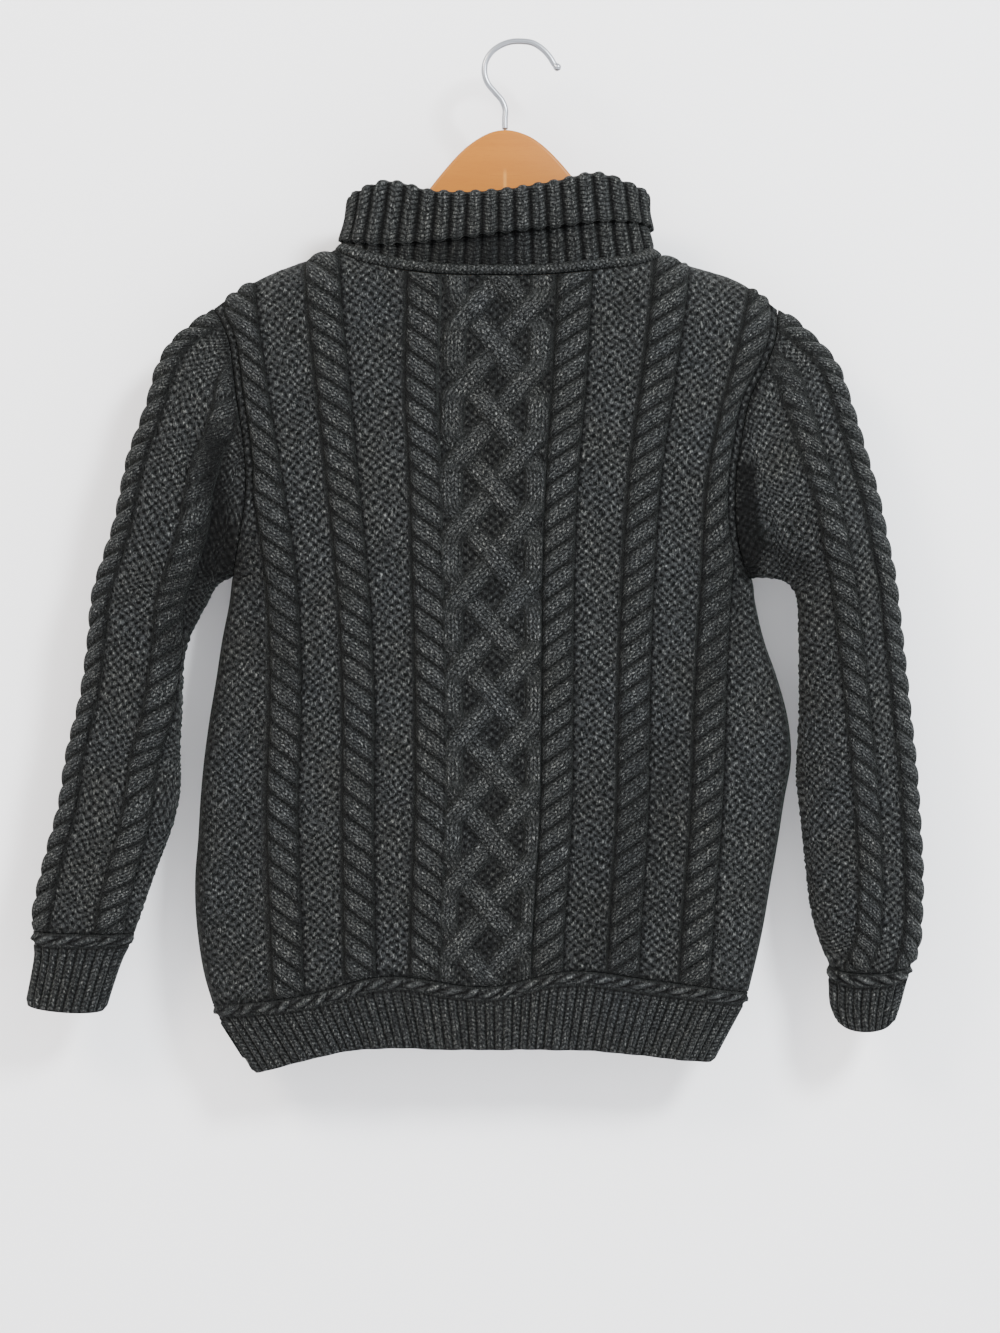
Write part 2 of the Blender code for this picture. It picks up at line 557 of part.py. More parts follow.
def neck_ring(back, front, neck):
    """The closed neck edge of both panels, from the left neck point round the back."""
    first, last = sorted(neck)
    loop = np.vstack((back[0][0, first:last + 1], front[0][0, last - 1:first:-1]))
    out = np.vstack((back[1][0, first:last + 1], front[1][0, last - 1:first:-1]))
    loop[[0, last - first], 1] = 0
    return loop, out


def neck_band(loop, loop_out, material):
    """The picked-up edge: a low rounded band that stands on the panels' neck edge."""
    inward = np.array((0.94, 0.97, 1.0))
    centre = loop.mean(0)
    rings = [loop + np.array((0, 0, EASE_GAP))]
    for share in (0.5, 1.0):
        ring = loop.copy()
        ring[:, :2] = centre[:2] + (ring[:, :2] - centre[:2]) * (1 + (inward[:2] - 1) * share)
        ring[:, 2] += NECK_BAND * share
        rings.append(ring)
    grid = np.stack(rings)
    level = loop_out.copy()
    level[:, 2] = 0
    level = unit(level)
    out = np.stack((loop_out, level, level))
    height = np.stack([np.full(len(loop), value) for value in (PLAIN, NECK_RIDGE, PLAIN)])
    item = tube_wall("neck_band", grid, out, height, [0, 1, 2], list(range(len(loop))), material)
    return item, grid[-1], level


def collar(edge, edge_out, material):
    """The roll collar: a ribbed stand that folds over and comes down outside itself."""
    count = 2 * COLLAR_RIBS
    base, out = along_loop(edge + np.array((0, 0, EASE_GAP)), edge_out, count)
    out = unit(out * np.array((1, 1, 0)))
    middle = 0.5 * (base[:, 0].max() + base[:, 0].min())
    half = 0.5 * (base[:, 0].max() - base[:, 0].min())
    across = np.clip((base[:, 0] - middle) / half, -1, 1)
    lines = np.asarray(COLLAR_LINES, float)
    drops = [smooth(lines[:, 0], lines[:, k] * MM, across) for k in range(1, 5)]
    is_back = (base[:, 1] < 0)
    fold = np.where(is_back, drops[0], drops[2])
    edge_drop = np.where(is_back, drops[1], drops[3])
    round_end = np.sqrt(1 - np.abs(across) ** 2.6) * COLLAR_DEPTH * np.sign(base[:, 1])
    top = np.stack((middle + (base[:, 0] - middle) * COLLAR_NARROW, round_end, -fold), 1)
    hem_share = ((-edge_drop - base[:, 2]) / (top[:, 2] - base[:, 2]))[:, None]
    rib = (ribbed(count) - PLAIN)[:, None]
    ease = -np.clip(np.abs(across) * 1.6 - 0.6, 0, 1)[:, None] * COLLAR_TUCK

    def station(share, reach):
        return base + (top - base) * share + out * reach

    rings = (station(0.0, -WALL), station(0.94, -WALL), station(1.0, -COLLAR_IN),
             station(1.005, COLLAR_FOLD), station(0.95, COLLAR_SHOULDER + rib * 0.8),
             station(hem_share, COLLAR_TURNED + rib + ease),
             station(hem_share, COLLAR_UNDER + 0.4 * ease),
             station(0.86, COLLAR_FOLD), station(0.0, PLAIN))
    points = np.vstack(rings)
    faces = grid_faces(0, len(rings), count, True)
    last = (len(rings) - 1) * count
    for c in range(count):
        after = (c + 1) % count
        faces += [(last + c, last + after, after), (last + c, after, c)]
    return build_object("collar", points, faces, material)


def flat_outline(name, points, half, material):
    """A flat piece cut to an outline in the hanger's plane, half its thickness each way."""
    curve = bpy.data.curves.new(name, "CURVE")
    curve.dimensions = "2D"
    curve.fill_mode = "BOTH"
    curve.extrude = half
    line = curve.splines.new("POLY")
    line.points.add(len(points) - 1)
    for spot, (x, z) in zip(line.points, points):
        spot.co = (x, z, 0, 1)
    line.use_cyclic_u = True
    curve.materials.append(material)
    item = bpy.data.objects.new(name, curve)
    item.rotation_euler = (math.pi / 2, 0, 0)
    return item


def hanger_outline():
    """Upper edge: arms under the shoulders and a round hump; lower edge: a shallow arch."""
    top = ((-168, 167.5), (-150, 156.5), (-118, 149), (-100, 152), (-84, 144), (-74, 128),
           (-65, 110), (-57.4, 97.7), (-43, 79.9), (-31, 68), (-18, 60), (-6.6, 57.6),
           (4, 59.5), (14.5, 64.7), (26.4, 75.2), (39.6, 91.1), (47, 108), (55, 126),
           (64, 144), (80, 154), (97, 156), (130, 162), (148, 171))
    low = ((152, 186), (146, 191), (110, 180), (70, 167), (30, 157), (-12, 153), (-55, 156),
           (-95, 164), (-135, 176), (-168, 187), (-175, 182))
    return [(x * MM, -drop * MM) for x, drop in top + low]


def wire_hook(material):
    """The hook: a bent wire from the hump's top to its rounded tip, on one smooth curve."""
    route = np.array(((-6.6, -57.0), (-6.6, -49.0), (-6.4, -43.0), (-8.5, -37.5), (-13.5, -31.5),
                      (-18.2, -25.5), (-20.2, -19.0), (-19.6, -12.0), (-16.2, -5.8),
                      (-10.2, -1.0), (-3.0, 1.7), (4.5, 2.1), (12.0, 0.9), (18.5, -3.2),
                      (23.4, -8.6), (26.6, -13.6), (30.2, -16.8))) * MM
    run = np.r_[0, np.cumsum(np.hypot(*np.diff(route, axis=0).T))]
    where = np.linspace(0, run[-1], 26)
    x, z = smooth(run, route[:, 0], where), smooth(run, route[:, 1], where)
    curve = bpy.data.curves.new("hanger_hook", "CURVE")
    curve.dimensions = "3D"
    curve.bevel_depth = HOOK_RADIUS
    curve.bevel_resolution = 2
    curve.use_fill_caps = True
    line = curve.splines.new("POLY")
    line.points.add(len(where) - 1)
    for k, spot in enumerate(line.points):
        spot.co = (x[k], 0, z[k], 1)
        spot.radius = 1.28 if k >= len(where) - 2 else 1.0
    curve.materials.append(material)
    return bpy.data.objects.new("hanger_hook", curve)


def principled(name, colour, roughness, metallic):
    material = bpy.data.materials.new(name)
    material.use_nodes = True
    shader = material.node_tree.nodes["Principled BSDF"]
    shader.inputs["Base Color"].default_value = (*colour, 1)
    shader.inputs["Roughness"].default_value = roughness
    shader.inputs["Metallic"].default_value = metallic
    return material


def main():
    for item in list(bpy.data.objects):
        bpy.data.objects.remove(item, do_unlink=True)
    home = bpy.data.collections.new("cable_knit_sweater")
    bpy.context.scene.collection.children.link(home)
    wool = principled("charcoal_wool", (0.045, 0.048, 0.043), 0.95, 0.0)
    beech = principled("beech", (0.62, 0.36, 0.15), 0.45, 0.0)
    steel = principled("steel_wire", (0.55, 0.55, 0.56), 0.3, 1.0)

    back, front = panel(BACK, 56), panel(FRONT, 50)
    cols = back[2].shape[1]
    keep_cols = [0, 1, 2, 3, 5, 7, 8, 9, 10, 12, 14, 16, 18, 20, 22, 23, 24, 25, 27, 29]
    keep_cols += [cols - 3, cols - 2, cols - 1]
    items = []
    for name, (grid, out, height, _) in (("back", back), ("front", front)):
        rows = len(grid)
        pick = [0, 2, 4, 5, 6, 8] + list(range(11, 28, 3)) + list(range(31, rows - 3, 5))
        armpit = np.abs(grid[:, 0, 2] + LEFT_SLEEVE[0][3] * MM)
        keep_rows = sorted(set(pick) | set(np.argsort(armpit)[:3].tolist()) | {rows - 1})
        items.append(sheet_wall(name, grid, out, height, keep_rows, keep_cols, wool))
    for name, table, cuff_table, left in (("left", LEFT_SLEEVE, LEFT_CUFF, True),
                                          ("right", RIGHT_SLEEVE, RIGHT_CUFF, False)):
        item, edge, edge_out = sleeve("sleeve_" + name, table, left, wool)
        items += [item, cuff("cuff_" + name, cuff_table, edge, edge_out, wool)]
    items.append(hem_band(back, front, wool))
    loop, loop_out = neck_ring(back, front, back[3])
    item, edge, edge_out = neck_band(loop, loop_out, wool)
    items += [item, collar(edge, edge_out, wool)]
    items.append(flat_outline("hanger_wood", hanger_outline(), HANGER_HALF, beech))
    items.append(wire_hook(steel))
    for item in items:
        home.objects.link(item)


main()
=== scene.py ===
"""Child's cable knit sweater with a fold-over ribbed collar on a wooden hanger.

Metres, +Z up, origin at the inner top of the hook's bend. The sweater's back faces -Y.
Tables are in millimetres: x from the origin, and drop is the depth below it.
"""
import math

import bmesh
import bpy
import numpy as np
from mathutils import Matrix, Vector


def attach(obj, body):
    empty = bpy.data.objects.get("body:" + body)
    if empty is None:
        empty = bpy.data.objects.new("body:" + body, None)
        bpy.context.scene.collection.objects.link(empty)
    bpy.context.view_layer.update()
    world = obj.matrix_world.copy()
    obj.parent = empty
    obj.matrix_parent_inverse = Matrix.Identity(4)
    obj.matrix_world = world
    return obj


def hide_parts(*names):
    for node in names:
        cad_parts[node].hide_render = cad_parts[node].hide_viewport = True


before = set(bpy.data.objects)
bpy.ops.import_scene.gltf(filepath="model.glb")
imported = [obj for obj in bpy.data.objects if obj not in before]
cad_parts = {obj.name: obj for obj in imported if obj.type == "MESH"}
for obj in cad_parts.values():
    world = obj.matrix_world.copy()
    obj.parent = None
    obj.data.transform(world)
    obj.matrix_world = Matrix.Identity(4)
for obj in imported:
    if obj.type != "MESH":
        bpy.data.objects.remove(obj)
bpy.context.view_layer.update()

bl_info = {
    "name": "Cable knit sweater",
    "version": (1, 0, 0),
    "blender": (4, 5, 0),
    "location": "View3D > Sidebar > Sweater",
    "description": "Cabled panels, sleeves, ribbed bands, roll collar and a wooden hanger",
    "category": "Add Mesh",
}

MM = 0.001
BACK, FRONT = -1, 1
SEAM_GAP = 0.0003
SEAM_HIGH = 0.0006           # height of the relief along every seam
SEAM_SHADE = 0.6             # share of painted shade along the seams
BACK_DEPTH, FRONT_DEPTH, ARM_DEPTH = 0.028, 0.024, 0.022
SHOULDER_ROUND = 0.030
ARM_BLEND = 0.006            # run over which both sides of an armhole share their normals
ARM_EASE = 0.05              # run over which a sleeve leaves the shape of its armhole
EDGE_MARGIN = 0.005          # outermost rope to the panel's side
EDGE_WIDE = 0.012            # least width of the outermost rope
TOP_WIDER = 0.0012           # what a rope gains in half width near the shoulder
ROPE_HALF = 0.0104
ROPE_CROSSING = 0.0152       # height of one crossing of a rope cable
PLAIT_HALF_REPEAT = 0.023    # height from one row of plait crossings to the next
PLAIT_FIRST = 0.2155         # drop at which a half repeat starts
PLAIT_LANE = 0.0187          # from one plait lane to the next
COLLAR_RIBS, HEM_RIBS, CUFF_RIBS = 45, 116, 22
COLLAR_FINE, NECK_FINE, HEM_FINE, CUFF_FINE = 10, 8, 8, 12   # mesh columns to a rib
NECK_BAND = 0.008
COLLAR_DEPTH = 0.026         # half depth of the collar at its fold
COLLAR_NARROW = 0.91         # width at the fold as a share of the width at the foot
COLLAR_TUCK = 0.0033         # how much closer the turned part lies at both ends
HANGER_HALF = 0.006
HUMP_AT = (-0.0066, 0.096)    # x of the wood's middle joint, and its drop
TIP_AT, TIP_HALF, TIP_WIDE = 0.0026, 0.0027, 1.32     # ball at the hook's tip
WALL_AT, FLOOR_AT = 0.047, -1.15
STAGE_REACH, STAGE_TOP = 3.0, 1.6
LIGHT_AIM = (-0.01, 0.0, -0.40)
VIEW_HEIGHT, VIEW_PLANE = 0.880, -0.012               # what the camera sees, and where
VIEW_MIDDLE = (-0.0099, -0.4135)
SENSOR = 36.0
SLEEVE_ROUND = (0.036, 0.021)                         # half width and half depth of a sleeve
SLEEVE_ROPES = ((0.062, 0.0093), (0.0453, 0.0078))    # left, right: way round, half width
OUTER_ROPE = (0.0112, 0.0104)                         # the same of the rope on the outer edge
ROPE_STEEP = 1.5             # how far a rope's strand runs on while it crosses
ROPE_STITCH = 0.0056         # length of a stitch along a rope's strand
GROOVE_WIDE = 0.0018         # width of the painted shade in the purl groove beside a rope
PLAIT_HALF = 0.0075          # half the width of a plait strand
PLAIT_STITCH = 0.0032
PLAIT_GROUND = 0.00035       # height of the ground between the plait's strands
PLAIT_WALK = (0, 1, 2, 3, 3, 2, 1, 0, 0)
PLAIT_ROUND = 0.16           # how early a strand starts to turn, in half repeats
TROUGH_FULL = 0.007          # depth of a fold whose trough gets its full painted shade, and the largest share of that painted shade
TROUGH_MOST = 0.9
CHAIN_AT = 0.0046            # from a band's upper edge to the middle of its chain ridge
CHAIN_STRAND = 0.0058        # height of one strand of the ridge's cord
CHAIN_HALF = 0.0042
PANEL_ROWS = (0.00127, 0.0022)   # height of the mesh's rows on the back and on the front
SLEEVE_COLUMNS, SLEEVE_ROW = 160, 0.0015
BAND_RINGS = 33
STITCH_DEPTH = 0.0011        # depth of the stitches' bump

# drop, left edge, right edge of the body
BODY_EDGES = (
    (176, -200, 174.5), (186, -193.5, 173.5), (198, -188.5, 171.5), (215, -185.5, 165),
    (235, -183, 155), (264, -178.5, 148.5), (300, -177, 144.5), (328, -181.5, 146.5),
    (345, -185, 151), (354, -187, 156.4), (370, -189, 159), (396, -194, 165),
    (422, -198, 174), (449, -202.5, 181), (475, -206, 183), (502, -208.5, 178.5),
    (528, -210, 174.5), (554, -212, 170), (594, -210, 163), (620, -205.5, 157),
    (640, -199.5, 152),
)
# drop, then the middle of each rope cable from left to right
ROPE_LANES = (
    (140, -184, -127, -59, 39, 104, 170), (172, -181.5, -125, -59.5, 38.3, 101, 165),
    (231, -173, -119, -61, 35.3, 93, 150), (290, -163, -113, -58.7, 30.7, 85, 136.6),
    (350, -154, -107, -57, 28.4, 81, 133), (429, -150.5, -102.6, -55, 27.7, 78, 128.4),
    (508, -152.5, -102.6, -55, 26.7, 77, 125.7), (587, -150.2, -102, -58, 22, 72.3, 120),
    (640, -148, -101, -59, 20, 70, 117),
)
# x, drop along the shoulder seams, and under the collar where they would meet
SHOULDER_LINE = (
    (-201, 177), (-183.5, 165), (-164, 154.4), (-142, 146), (-118.8, 138.6),
    (-75, 128), (-12, 124), (55, 129), (97, 142.6), (120, 149.2), (150.5, 159.7),
    (175, 177.4),
)
NECK_LEFT, NECK_RIGHT = -118.8, 97.0
# x, drop of the neck edge of the back panel, then of the front panel
NECK_LINES = (
    (-118.8, 138.6, 138.6), (-104, 147, 156), (-86, 151.8, 174), (-62, 155.8, 190),
    (-18, 157.7, 202), (23, 157.1, 199), (61, 153.1, 180), (84, 149, 158),
    (97, 142.6, 142.6),
)
# x, drop of the panels' lower edge, then of the hem's
PANEL_FOOT = (
    (-200, 637.6), (-142, 630), (-87, 616.4), (-16.5, 623), (36, 613), (89, 619),
    (158, 629.6),
)
HEM_FOOT = ((-171.6, 683), (-109, 666.6), (-30, 665.5), (56, 667), (130, 676))
# outer x, outer drop, underarm x, underarm drop, half depth, how far the near side hangs lower
LEFT_SLEEVE = (
    (-200.0, 176.2, -186.8, 353.1, 22, 0), (-213.2, 187.4, -191, 354.8, 22, 0),
    (-224.4, 196.7, -195.4, 357, 22, 0), (-234.3, 212.5, -199.3, 360.8, 23, 0),
    (-241.6, 237.6, -202.6, 366.3, 23, 0), (-247.5, 254.8, -206, 373.6, 23, 0),
    (-253.4, 270.6, -210, 380.2, 23, 0), (-258.7, 293.7, -213.8, 388, 23, 0),
    (-263.3, 316.8, -217.8, 398, 22, 0), (-270, 338.6, -220.5, 410, 22, 0),
    (-277.5, 363, -221.3, 426, 22, 0), (-281, 396, -221.8, 444, 21, 0),
    (-286, 432.3, -223.2, 468.6, 21, 0), (-295.5, 472, -223.1, 495, 20, 0),
    (-300.5, 505, -227.7, 518.1, 20, 0), (-310, 541.2, -238.3, 546.5, 19, 0),
    (-316.8, 571, -247.5, 573, 18, 0), (-319.5, 588.7, -253.4, 590, 16, 0),
)
RIGHT_SLEEVE = (
    (174.2, 176.9, 156.4, 354.4, 22, 0), (186, 186, 161.7, 354, 22, 0),
    (198, 196.7, 167.6, 354, 23, 0), (211, 211.9, 173.6, 354.6, 23, 0),
    (219.5, 234.3, 179.5, 356.5, 24, 0), (225.7, 254.1, 184.4, 360.5, 24, 0),
    (232, 275.9, 187.6, 366.5, 24, 0), (239, 300.3, 188.8, 374.5, 24, 0),
    (244.5, 326.7, 189, 385, 23, 0), (249.6, 351.1, 189.4, 399.3, 23, 0),
    (253.2, 379.5, 189.4, 417.1, 22, 0), (256.5, 409.2, 189.6, 436.9, 22, 0),
    (260, 442.2, 188.8, 458.7, 21, 0), (264, 478.5, 187.6, 485.1, 21, 0),
    (266.6, 514.8, 190.6, 516.1, 20, 0), (268.4, 547.8, 194, 547.8, 19, 2),
    (268, 577.5, 197.5, 576, 18, 3), (266.4, 597.3, 203.5, 597.3, 17, 4),
    (262.7, 609.8, 209.4, 611.2, 16, 5),
)
LEFT_CUFF = (
    (-317.6, 596, -257.6, 597.6, 15, 0), (-317.5, 604, -261.8, 605.5, 14.5, 0),
    (-320, 621, -268, 622.5, 14.5, 1), (-323.4, 637.8, -273.9, 641.5, 15, 2),
)
RIGHT_CUFF = (
    (261.2, 613.5, 210.6, 616, 15, 5), (258.6, 622, 210.6, 624.4, 14.5, 5),
    (255, 634.9, 211.4, 637, 14, 6), (250.4, 647, 215.6, 648.4, 14, 7),
)
# across the collar from -1 to 1, then drops: back fold, back edge, front fold, front edge
COLLAR_LINES = (
    (-1.0, 101, 131, 103, 131), (-0.85, 95, 135, 104, 142), (-0.45, 102, 135, 118, 160),
    (0.0, 101.5, 130, 126, 169), (0.4, 95.5, 125.5, 120, 162), (0.72, 89.5, 121.5, 106, 146),
    (1.0, 98, 121, 99, 124),
)
# side, then x and drop of each end, half width, height of the folds (troughs are minus)
FOLDS = (
    (BACK, -198, 268, -194, 345, 12, -6.5), (BACK, -202, 335, -226, 400, 14, -4.5),
    (BACK, -176, 330, -150, 420, 16, -2.0), (BACK, 152, 285, 155, 350, 6, -11.0),
    (BACK, 150, 320, 128, 420, 16, -2.5), (BACK, 178, 296, 212, 326, 15, 4.5),
    (BACK, 160, 330, 190, 349, 9, -4.0), (BACK, -30, 420, -60, 600, 30, 2.0),
    (BACK, 90, 480, 60, 610, 28, -2.0), (FRONT, -150, 300, -80, 470, 24, -3.0),
    (FRONT, 120, 300, 60, 460, 24, -3.0), (FRONT, -20, 330, -10, 560, 30, 2.5),
    (FRONT, -205, 320, -230, 380, 13, -3.5), (FRONT, 165, 310, 215, 360, 13, -3.5),
)
# x and drop: the hanger's outline, and the hook's centre line from the hump to its tip
HANGER_OUTLINE = (
    (-168, 167.5), (-150, 156.5), (-118, 149), (-100, 152), (-84, 144), (-74, 128),
    (-65, 110), (-57.4, 97.7), (-43, 79.9), (-31, 68), (-18, 60), (-6.6, 57.6), (4, 59.5),
    (14.5, 64.7), (26.4, 75.2), (39.6, 91.1), (47, 108), (55, 126), (64, 144), (80, 154),
    (97, 156), (130, 162), (148, 171), (152, 186), (146, 191), (110, 180), (70, 167),
    (30, 157), (-12, 153), (-55, 156), (-95, 164), (-135, 176), (-168, 187), (-175, 182),
)
HOOK_ROUTE = (
    (-6.6, 57.0), (-6.6, 49.0), (-6.4, 43.0), (-8.5, 37.5), (-13.5, 31.5), (-18.2, 25.5),
    (-20.2, 19.0), (-19.6, 12.0), (-16.2, 5.8), (-10.2, 1.0), (-3.0, -1.7), (4.5, -2.1),
    (12.0, -0.9), (18.5, 3.2), (23.4, 8.6), (26.6, 13.6), (30.2, 16.8),
)


# Curves and surfaces

def smooth(places, values, where):
    """Cubic through named stations, with each slope taken from the two neighbours."""
    places, values = np.asarray(places, float), np.asarray(values, float)
    slopes = np.gradient(values, places)
    where = np.clip(where, places[0], places[-1])
    i = np.clip(np.searchsorted(places, where) - 1, 0, len(places) - 2)
    span = places[i + 1] - places[i]
    t = (where - places[i]) / span
    rise = (1 + 2 * t) * (1 - t) ** 2 * values[i] + t * t * (3 - 2 * t) * values[i + 1]
    return rise + span * t * (1 - t) * ((1 - t) * slopes[i] - t * slopes[i + 1])


def read_table(table, column, where):
    """One column of a table at a place given in metres, in metres."""
    rows = np.asarray(table, float)
    return smooth(rows[:, 0] * MM, rows[:, column] * MM, where)


def unit(vectors):
    return vectors / np.maximum(np.linalg.norm(vectors, axis=-1, keepdims=True), 1e-12)


def bell(distance, width):
    return np.exp(-(distance / width) ** 2)


def top_drop(x, side):
    """Drop of a panel's upper edge: the shoulder seams, with the neck edge between them."""
    neck = read_table(NECK_LINES, 1 if side == BACK else 2, x)
    inside = (x > NECK_LEFT * MM) & (x < NECK_RIGHT * MM)
    return np.where(inside, neck, read_table(SHOULDER_LINE, 1, x))


def armhole(left):
    """Middle drop and half height of an armhole."""
    first, last = (LEFT_SLEEVE if left else RIGHT_SLEEVE)[0][1:4:2]
    return 0.5 * (first + last) * MM, 0.5 * (last - first) * MM


def fold_height(side, x, drop):
    """Sum of the soft folds: each is a bell across its line that fades past its ends."""
    total = np.zeros(np.broadcast(x, drop).shape)
    for fold_side, x0, d0, x1, d1, width, height in FOLDS:
        if fold_side == side:
            run = np.array((x1 - x0, d1 - d0)) * MM
            length = math.hypot(*run)
            along = ((x - x0 * MM) * run[0] + (drop - d0 * MM) * run[1]) / length
            across = ((x - x0 * MM) * run[1] - (drop - d0 * MM) * run[0]) / length
            past = np.maximum(np.maximum(-along, along - length), 0.0)
            total = total + height * MM * bell(np.hypot(across, past), width * MM)
    return total


def trough_painted_shade(side, x, drop):
    """Share of painted shade in a fold's trough, from 0 to TROUGH_MOST, by how far a place lies
    down in it.
    """
    return np.clip(-fold_height(side, x, drop) / TROUGH_FULL, 0, TROUGH_MOST)


def panel_depth(side, x, drop):
    """Distance from the hanger's plane to a panel: a flattened tube that closes at the side
    seams, opens at the armholes and rounds over at the shoulders."""
    left, right = (read_table(BODY_EDGES, column, drop) for column in (1, 2))
    reach = np.clip((x - 0.5 * (left + right)) / (0.5 * (right - left)), -1, 1)
    full = BACK_DEPTH if side == BACK else FRONT_DEPTH
    full = full * (1 - 0.22 * np.clip((drop - 0.45) / 0.2, 0, 1) ** 2)
    edge = np.zeros(np.shape(reach))
    for is_left, share in ((True, 0.5 - 0.5 * reach), (False, 0.5 + 0.5 * reach)):
        middle, half = armhole(is_left)
        edge = edge + share * ARM_DEPTH * np.sqrt(np.clip(1 - ((drop - middle) / half) ** 2, 0, 1))
    crown = 0.85 * np.sqrt(1 - np.abs(reach) ** 4) + 0.15 * (1 - reach ** 2)
    fade = np.clip((drop - read_table(SHOULDER_LINE, 1, x)) / SHOULDER_ROUND, 0, 1)
    depth = edge + (full - edge) * crown
    folds = fold_height(side, x, drop) * crown ** 0.5 * fade
    return depth * np.sqrt(1 - (1 - fade) ** 2) + folds


def from_ends(count, reach):
    """Share from 0 at both ends of a run to 1 at reach steps from them."""
    return np.clip(np.minimum(np.arange(count), np.arange(count)[::-1]) / reach, 0, 1)


def seamed(height, painted_shade, ease):
    """Relief and painted shade share brought to those of a seam where ease falls to 0, so the
    seams get painted shade.
    """
    return height * ease + SEAM_HIGH * (1 - ease), np.maximum(painted_shade, SEAM_SHADE * (1 - ease))


def outward(grid, wrap):
    """Unit normals of a grid of points: down its columns crossed with along its rows."""
    down = np.gradient(grid, axis=0)
    if wrap:
        across = np.roll(grid, -1, 1) - np.roll(grid, 1, 1)
    else:
        across = np.gradient(grid, axis=1)
    return unit(np.cross(down, across))


# Meshes

def rim(outer, inner, ratio):
    """Triangles between a fine run of point numbers and a coarser one, ratio to one."""
    i = np.arange(len(outer) - 1)
    j = i // ratio
    near = np.where(i % ratio < ratio // 2, inner[j], inner[j + 1])
    fans = np.stack((outer[:-1], outer[1:], near), 1)
    k = np.arange(len(inner) - 1)
    middles = np.stack((outer[k * ratio + ratio // 2], inner[k + 1], inner[k]), 1)
    return np.vstack((fans, middles))


def looped(numbers):
    """Point numbers of rings, with each ring's first one again at its end."""
    return np.hstack((numbers, numbers[:, :1]))


def quads_of(numbers):
    """Faces of a grid of point numbers, down by along."""
    return np.stack((numbers[:-1, :-1], numbers[1:, :-1], numbers[1:, 1:], numbers[:-1, 1:]),
                    -1).reshape(-1, 4)


def cloth_shell(name, outside, inside, ratio, wrap, values, flip=False):
    """Closed thin shell: a fine outside grid, a coarse inside grid with every ratio-th row
    and column, and rims of triangles between their edges. values holds yarn coordinates,
    strand share and painted shade share for each outside point."""
    rows, cols = outside.shape[:2]
    fine = np.arange(rows * cols).reshape(rows, cols)
    coarse = rows * cols + np.arange(inside[..., 0].size).reshape(inside.shape[:2])
    if wrap:
        fine, coarse = looped(fine), looped(coarse)
    quads = np.vstack((quads_of(fine), quads_of(coarse)[:, ::-1]))
    tris = [rim(fine[0], coarse[0], ratio[1]), rim(fine[-1, ::-1], coarse[-1, ::-1], ratio[1])]
    if not wrap:
        tris += [rim(fine[:, -1], coarse[:, -1], ratio[0]),
                 rim(fine[::-1, 0], coarse[::-1, 0], ratio[0])]
    points = np.vstack((outside.reshape(-1, 3), inside.reshape(-1, 3)))
    spread = [np.concatenate((grid.reshape(rows * cols, -1),
                              grid[::ratio[0], ::ratio[1]].reshape(inside[..., 0].size, -1)))
              for grid in values]
    return mesh_piece(name, points, quads, np.vstack(tris), spread, flip)


def put(name, data):
    """A new object in the scene, at the origin."""
    item = bpy.data.objects.new(name, data)
    bpy.context.scene.collection.objects.link(item)
    return item


def mesh_piece(name, points, quads, tris, values, flip=False):
    """An object at the origin from points, faces, yarn coordinates and masks: the strand share and
    the painted shade share.
    """
    if flip:
        quads, tris = quads[:, ::-1], tris[:, ::-1]
    corners = np.concatenate((quads.ravel(), tris.ravel())).astype(np.int32)
    starts = np.concatenate((np.arange(len(quads)) * 4, quads.size + np.arange(len(tris)) * 3))
    mesh = bpy.data.meshes.new(name)
    mesh.vertices.add(len(points))
    mesh.vertices.foreach_set("co", points.astype(np.float32).ravel())
    mesh.loops.add(len(corners))
    mesh.loops.foreach_set("vertex_index", corners)
    mesh.polygons.add(len(starts))
    mesh.polygons.foreach_set("loop_start", starts.astype(np.int32))
    mesh.update(calc_edges=True)
    mesh.validate()
    if values:
        layer = mesh.uv_layers.new(name="yarn")
        layer.data.foreach_set("uv", values[0][corners].astype(np.float32).ravel())
        # the strand share and the share of painted shade go on as point attributes
        for label, column in zip(("strand", "painted_shade"), values[1:]):
            attribute = mesh.attributes.new(label, "FLOAT", "POINT")
            attribute.data.foreach_set("value", column.astype(np.float32).ravel())
    mesh.shade_smooth()
    return put(name, mesh)


def dress(piece, material, slot, *nodes):
    """Puts a material on a piece, which rides on the one body and stands for its nodes."""
    piece.data.materials.clear()
    piece.data.materials.append(material)
    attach(piece, "root")
    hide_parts(*nodes)


# Knitted relief

def rope_relief(s, drop, lean, high):
    """Height, yarn place and painted shade share on a two-strand rope; the shade is painted
    between the strands and at the rope's sides. s runs from -1 to 1 across it. A strand's
    phase is drop over the crossing height less lean times arcsin(s) over pi times ROPE_STEEP,
    so the grooves are steep and S-shaped. The height is a round across the rope times a
    round across the strand."""
    bent = np.arcsin(np.clip(s, -0.995, 0.995)) / math.pi
    phase = drop / ROPE_CROSSING - lean * bent * ROPE_STEEP
    part = phase - np.floor(phase)
    strand = np.sqrt(np.clip(1 - np.abs(2 * part - 1) ** 2.2, 0, 1))
    body = np.sqrt(np.clip(1 - np.abs(s) ** 3.2, 0, 1))
    height = high * body * (0.05 + 0.95 * strand)
    u = (part - 0.5) * 3.0
    v = (s * ROPE_HALF + lean * drop) / ROPE_STITCH
    # painted shade between the strands and at the rope's sides
    painted_shade = np.clip(2.1 * (1 - strand * body) - 0.35, 0, 1)
    return height, u, v, painted_shade


